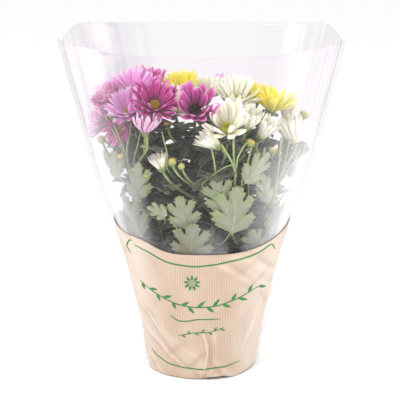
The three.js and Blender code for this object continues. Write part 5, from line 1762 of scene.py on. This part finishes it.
    def sites(self) -> list[tuple[Array, float, float, float]]:
        """Where arched leaves grow, up the stem and then on the branches: base, compass, pitch, length."""
        made = []
        crown = self.cutting.crown
        for k in range(STEM_LEAVES):
            key = 700 + self.index * 20 + k
            height = FIRST_LEAF + (crown[2] - FIRST_LEAF) * k / (STEM_LEAVES - 1)
            length = LEAF_LENGTH * (1 + 0.14 * wobble(key, 2))
            pitch = 38 + 8 * wobble(key, 1)
            made.append((self.stem_point(height), self.cutting.turn + GOLDEN_DEGREES * k, pitch, length))
        start = self.curve.points[0]
        for key, bloom in self.blooms:
            if key % 2:
                continue
            branch = self.branch(bloom.seat - bloom.axis * CALYX_DEPTH, bloom.axis)
            low, high = branch.at(np.array([1, 2]) / 3)
            outward = math.degrees(math.atan2(high[1] - start[1], high[0] - start[0]))
            compass, pitch = outward + 70 * wobble(key, 8), 40 + 10 * wobble(key, 9)
            made.append(((low + high) / 2, compass, pitch, LEAF_LENGTH))
        return made

    def build(self, dyes: dict) -> list[Object]:
        """Leaves as one piece, and the wood with stalks, shoots, calyces and buds as another."""
        blades = self.blades()
        leaves = [blade.patch(self.index * 50 + k) for k, (blade, _) in enumerate(blades)]
        radii = np.linspace(1.0, 0.6, 11)
        stalks = [tube(rounded(stalk, 5), radii, 8, 0.05) for _, stalk in blades if len(stalk)]
        shoots = [shoot.tube(self.stem_point(shoot.start)) for shoot in SHOOTS if shoot.cutting == self.index]
        wood = Patch.joined(self.wood() + stalks + shoots + self.calyces() + self.buds())
        name = self.cutting.name
        finishes = [dyes[k] for k in ("wood", "wood", "wood", "calyx", "bud")]
        foliage = Patch.joined(leaves).into_object(f"leaves_{name}", [dyes["upper"], dyes["under"]])
        made = [placed(foliage, "foliage", f"stem_{name}")]
        made.append(placed(wood.into_object(f"wood_{name}", finishes), "foliage", f"stem_{name}"))
        LOG.info("%s: %d leaves", name, len(blades))
        return made


# ------------------------------------------------ the studio


@dataclass(frozen=True)
class Studio:
    """A pale floor, soft light from both sides and above, and the camera."""

    elevation: float = 16.5
    distance: float = 1700
    target: float = 159.3
    focal: float = 164.3
    shift: float = -0.005

    def floor(self) -> None:
        """A wide plain floor."""
        reach = np.array([[-1, -1], [1, -1], [1, 1], [-1, 1]]) * 9000.0
        points = np.concatenate([reach, np.full((4, 1), -0.05)], 1)
        patch = Patch(points, np.array([[0, 1, 2, 3]]), np.zeros((0, 3), int), reach / 9000, np.zeros(4))
        patch.into_object("floor", [FLOOR.build()])

    def lamp(self, name: str, at: tuple, towards: tuple, size: tuple[float, float], power: float) -> None:
        """One soft panel of light, which the camera itself doesn't see."""
        data = bpy.data.lights.new(name, "AREA")
        data.shape = "RECTANGLE"
        data.size, data.size_y = (s * METRES for s in size)
        data.energy = power
        lamp = bpy.data.objects.new(name, data)
        lamp.location = Vector(at) * METRES
        lamp.rotation_euler = (Vector(towards) - Vector(at)).to_track_quat("-Z", "Y").to_euler()
        lamp.visible_camera = False
        bpy.context.scene.collection.objects.link(lamp)

    def light(self) -> None:
        """A pale surround, whitest at the back, a key from the upper left, and a tall panel at each side."""
        world = bpy.data.worlds.new("surround")
        bpy.context.scene.world = world
        world.use_nodes = True
        tree = world.node_tree
        back = tree.nodes["Background"]
        way = tree.nodes.new("ShaderNodeTexCoord")
        split = tree.nodes.new("ShaderNodeSeparateXYZ")
        strength = tree.nodes.new("ShaderNodeMapRange")
        strength.inputs["From Min"].default_value, strength.inputs["From Max"].default_value = -0.5, 0.3
        strength.inputs["To Min"].default_value, strength.inputs["To Max"].default_value = 0.66, 1.23
        tree.links.new(way.outputs["Generated"], split.inputs[0])
        tree.links.new(split.outputs["Y"], strength.inputs["Value"])
        tree.links.new(strength.outputs[0], back.inputs["Strength"])
        back.inputs["Color"].default_value = (0.99, 0.985, 0.995, 1.0)
        self.lamp("key", (-900, -1300, 1500), (0, 0, 200), (600, 600), 15)
        self.lamp("left_panel", (-620, -420, 330), (0, 0, 220), (260, 640), 3.1)
        self.lamp("right_panel", (620, -420, 330), (0, 0, 220), (260, 640), 4.2)
        bpy.context.scene.view_settings.view_transform = "Standard"

    def camera(self) -> None:
        """A long lens a little above the object, aimed at its middle."""
        data = bpy.data.cameras.new("camera")
        data.lens, data.sensor_width, data.shift_x = self.focal, 36, self.shift
        data.clip_end = 100
        camera = bpy.data.objects.new("camera", data)
        e = math.radians(self.elevation)
        at = Vector((0, -self.distance * math.cos(e), self.target + self.distance * math.sin(e))) * METRES
        camera.location = at
        aim = Vector((0, 0, self.target)) * METRES
        camera.rotation_euler = (aim - at).to_track_quat("-Z", "Y").to_euler()
        bpy.context.scene.collection.objects.link(camera)
        bpy.context.scene.camera = camera

    def build(self) -> None:
        """Floor, light and camera."""
        self.floor()
        self.light()
        self.camera()


def make_dyes() -> dict[str, Material]:
    """The finishes that several plants share, by name."""
    dyes = {name: finish.build() for name, finish in PETAL_FINISHES.items()}
    shared = {
        "upper": UPPER_LEAF,
        "under": UNDER_LEAF,
        "wood": WOOD,
        "calyx": CALYX_GREEN,
        "bud": BUD_SKIN,
        "disc_yellow": DISC_YELLOW,
        "disc_green": DISC_GREEN,
        "disc_dark": DISC_DARK,
    }
    return dyes | {name: finish.build() for name, finish in shared.items()}


def main() -> None:
    """Builds every piece in order."""
    logging.basicConfig(level=logging.INFO, format="%(name)s %(message)s")
    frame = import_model()
    nodes = frame["nodes"]
    Studio().build()
    pot = nodes["pot"]
    pot.data.materials.clear()
    pot.data.materials.append(POT_PLASTIC.build())
    Soil().build()
    paper = PaperFinish().build()
    front = PaperPanel(-1)
    front.build("paper_front", "kraft_front", paper)
    PaperPanel(1).build("paper_back", "kraft_back", paper)
    PaperPrint(front).build()
    dyes = make_dyes()
    for index, cutting in enumerate(CUTTINGS):
        Plant(index, nodes[f"stem_{cutting.name}"]).build(dyes)
    for index, bloom in enumerate(BLOOMS):
        bloom.build_petals(index, nodes[f"petals_{bloom.name}"], dyes)
        if bloom.habit not in (Habit.HALF, Habit.SHUT):
            bloom.build_disc(dyes)
    Film().build()


if __name__ == "__main__":
    main()
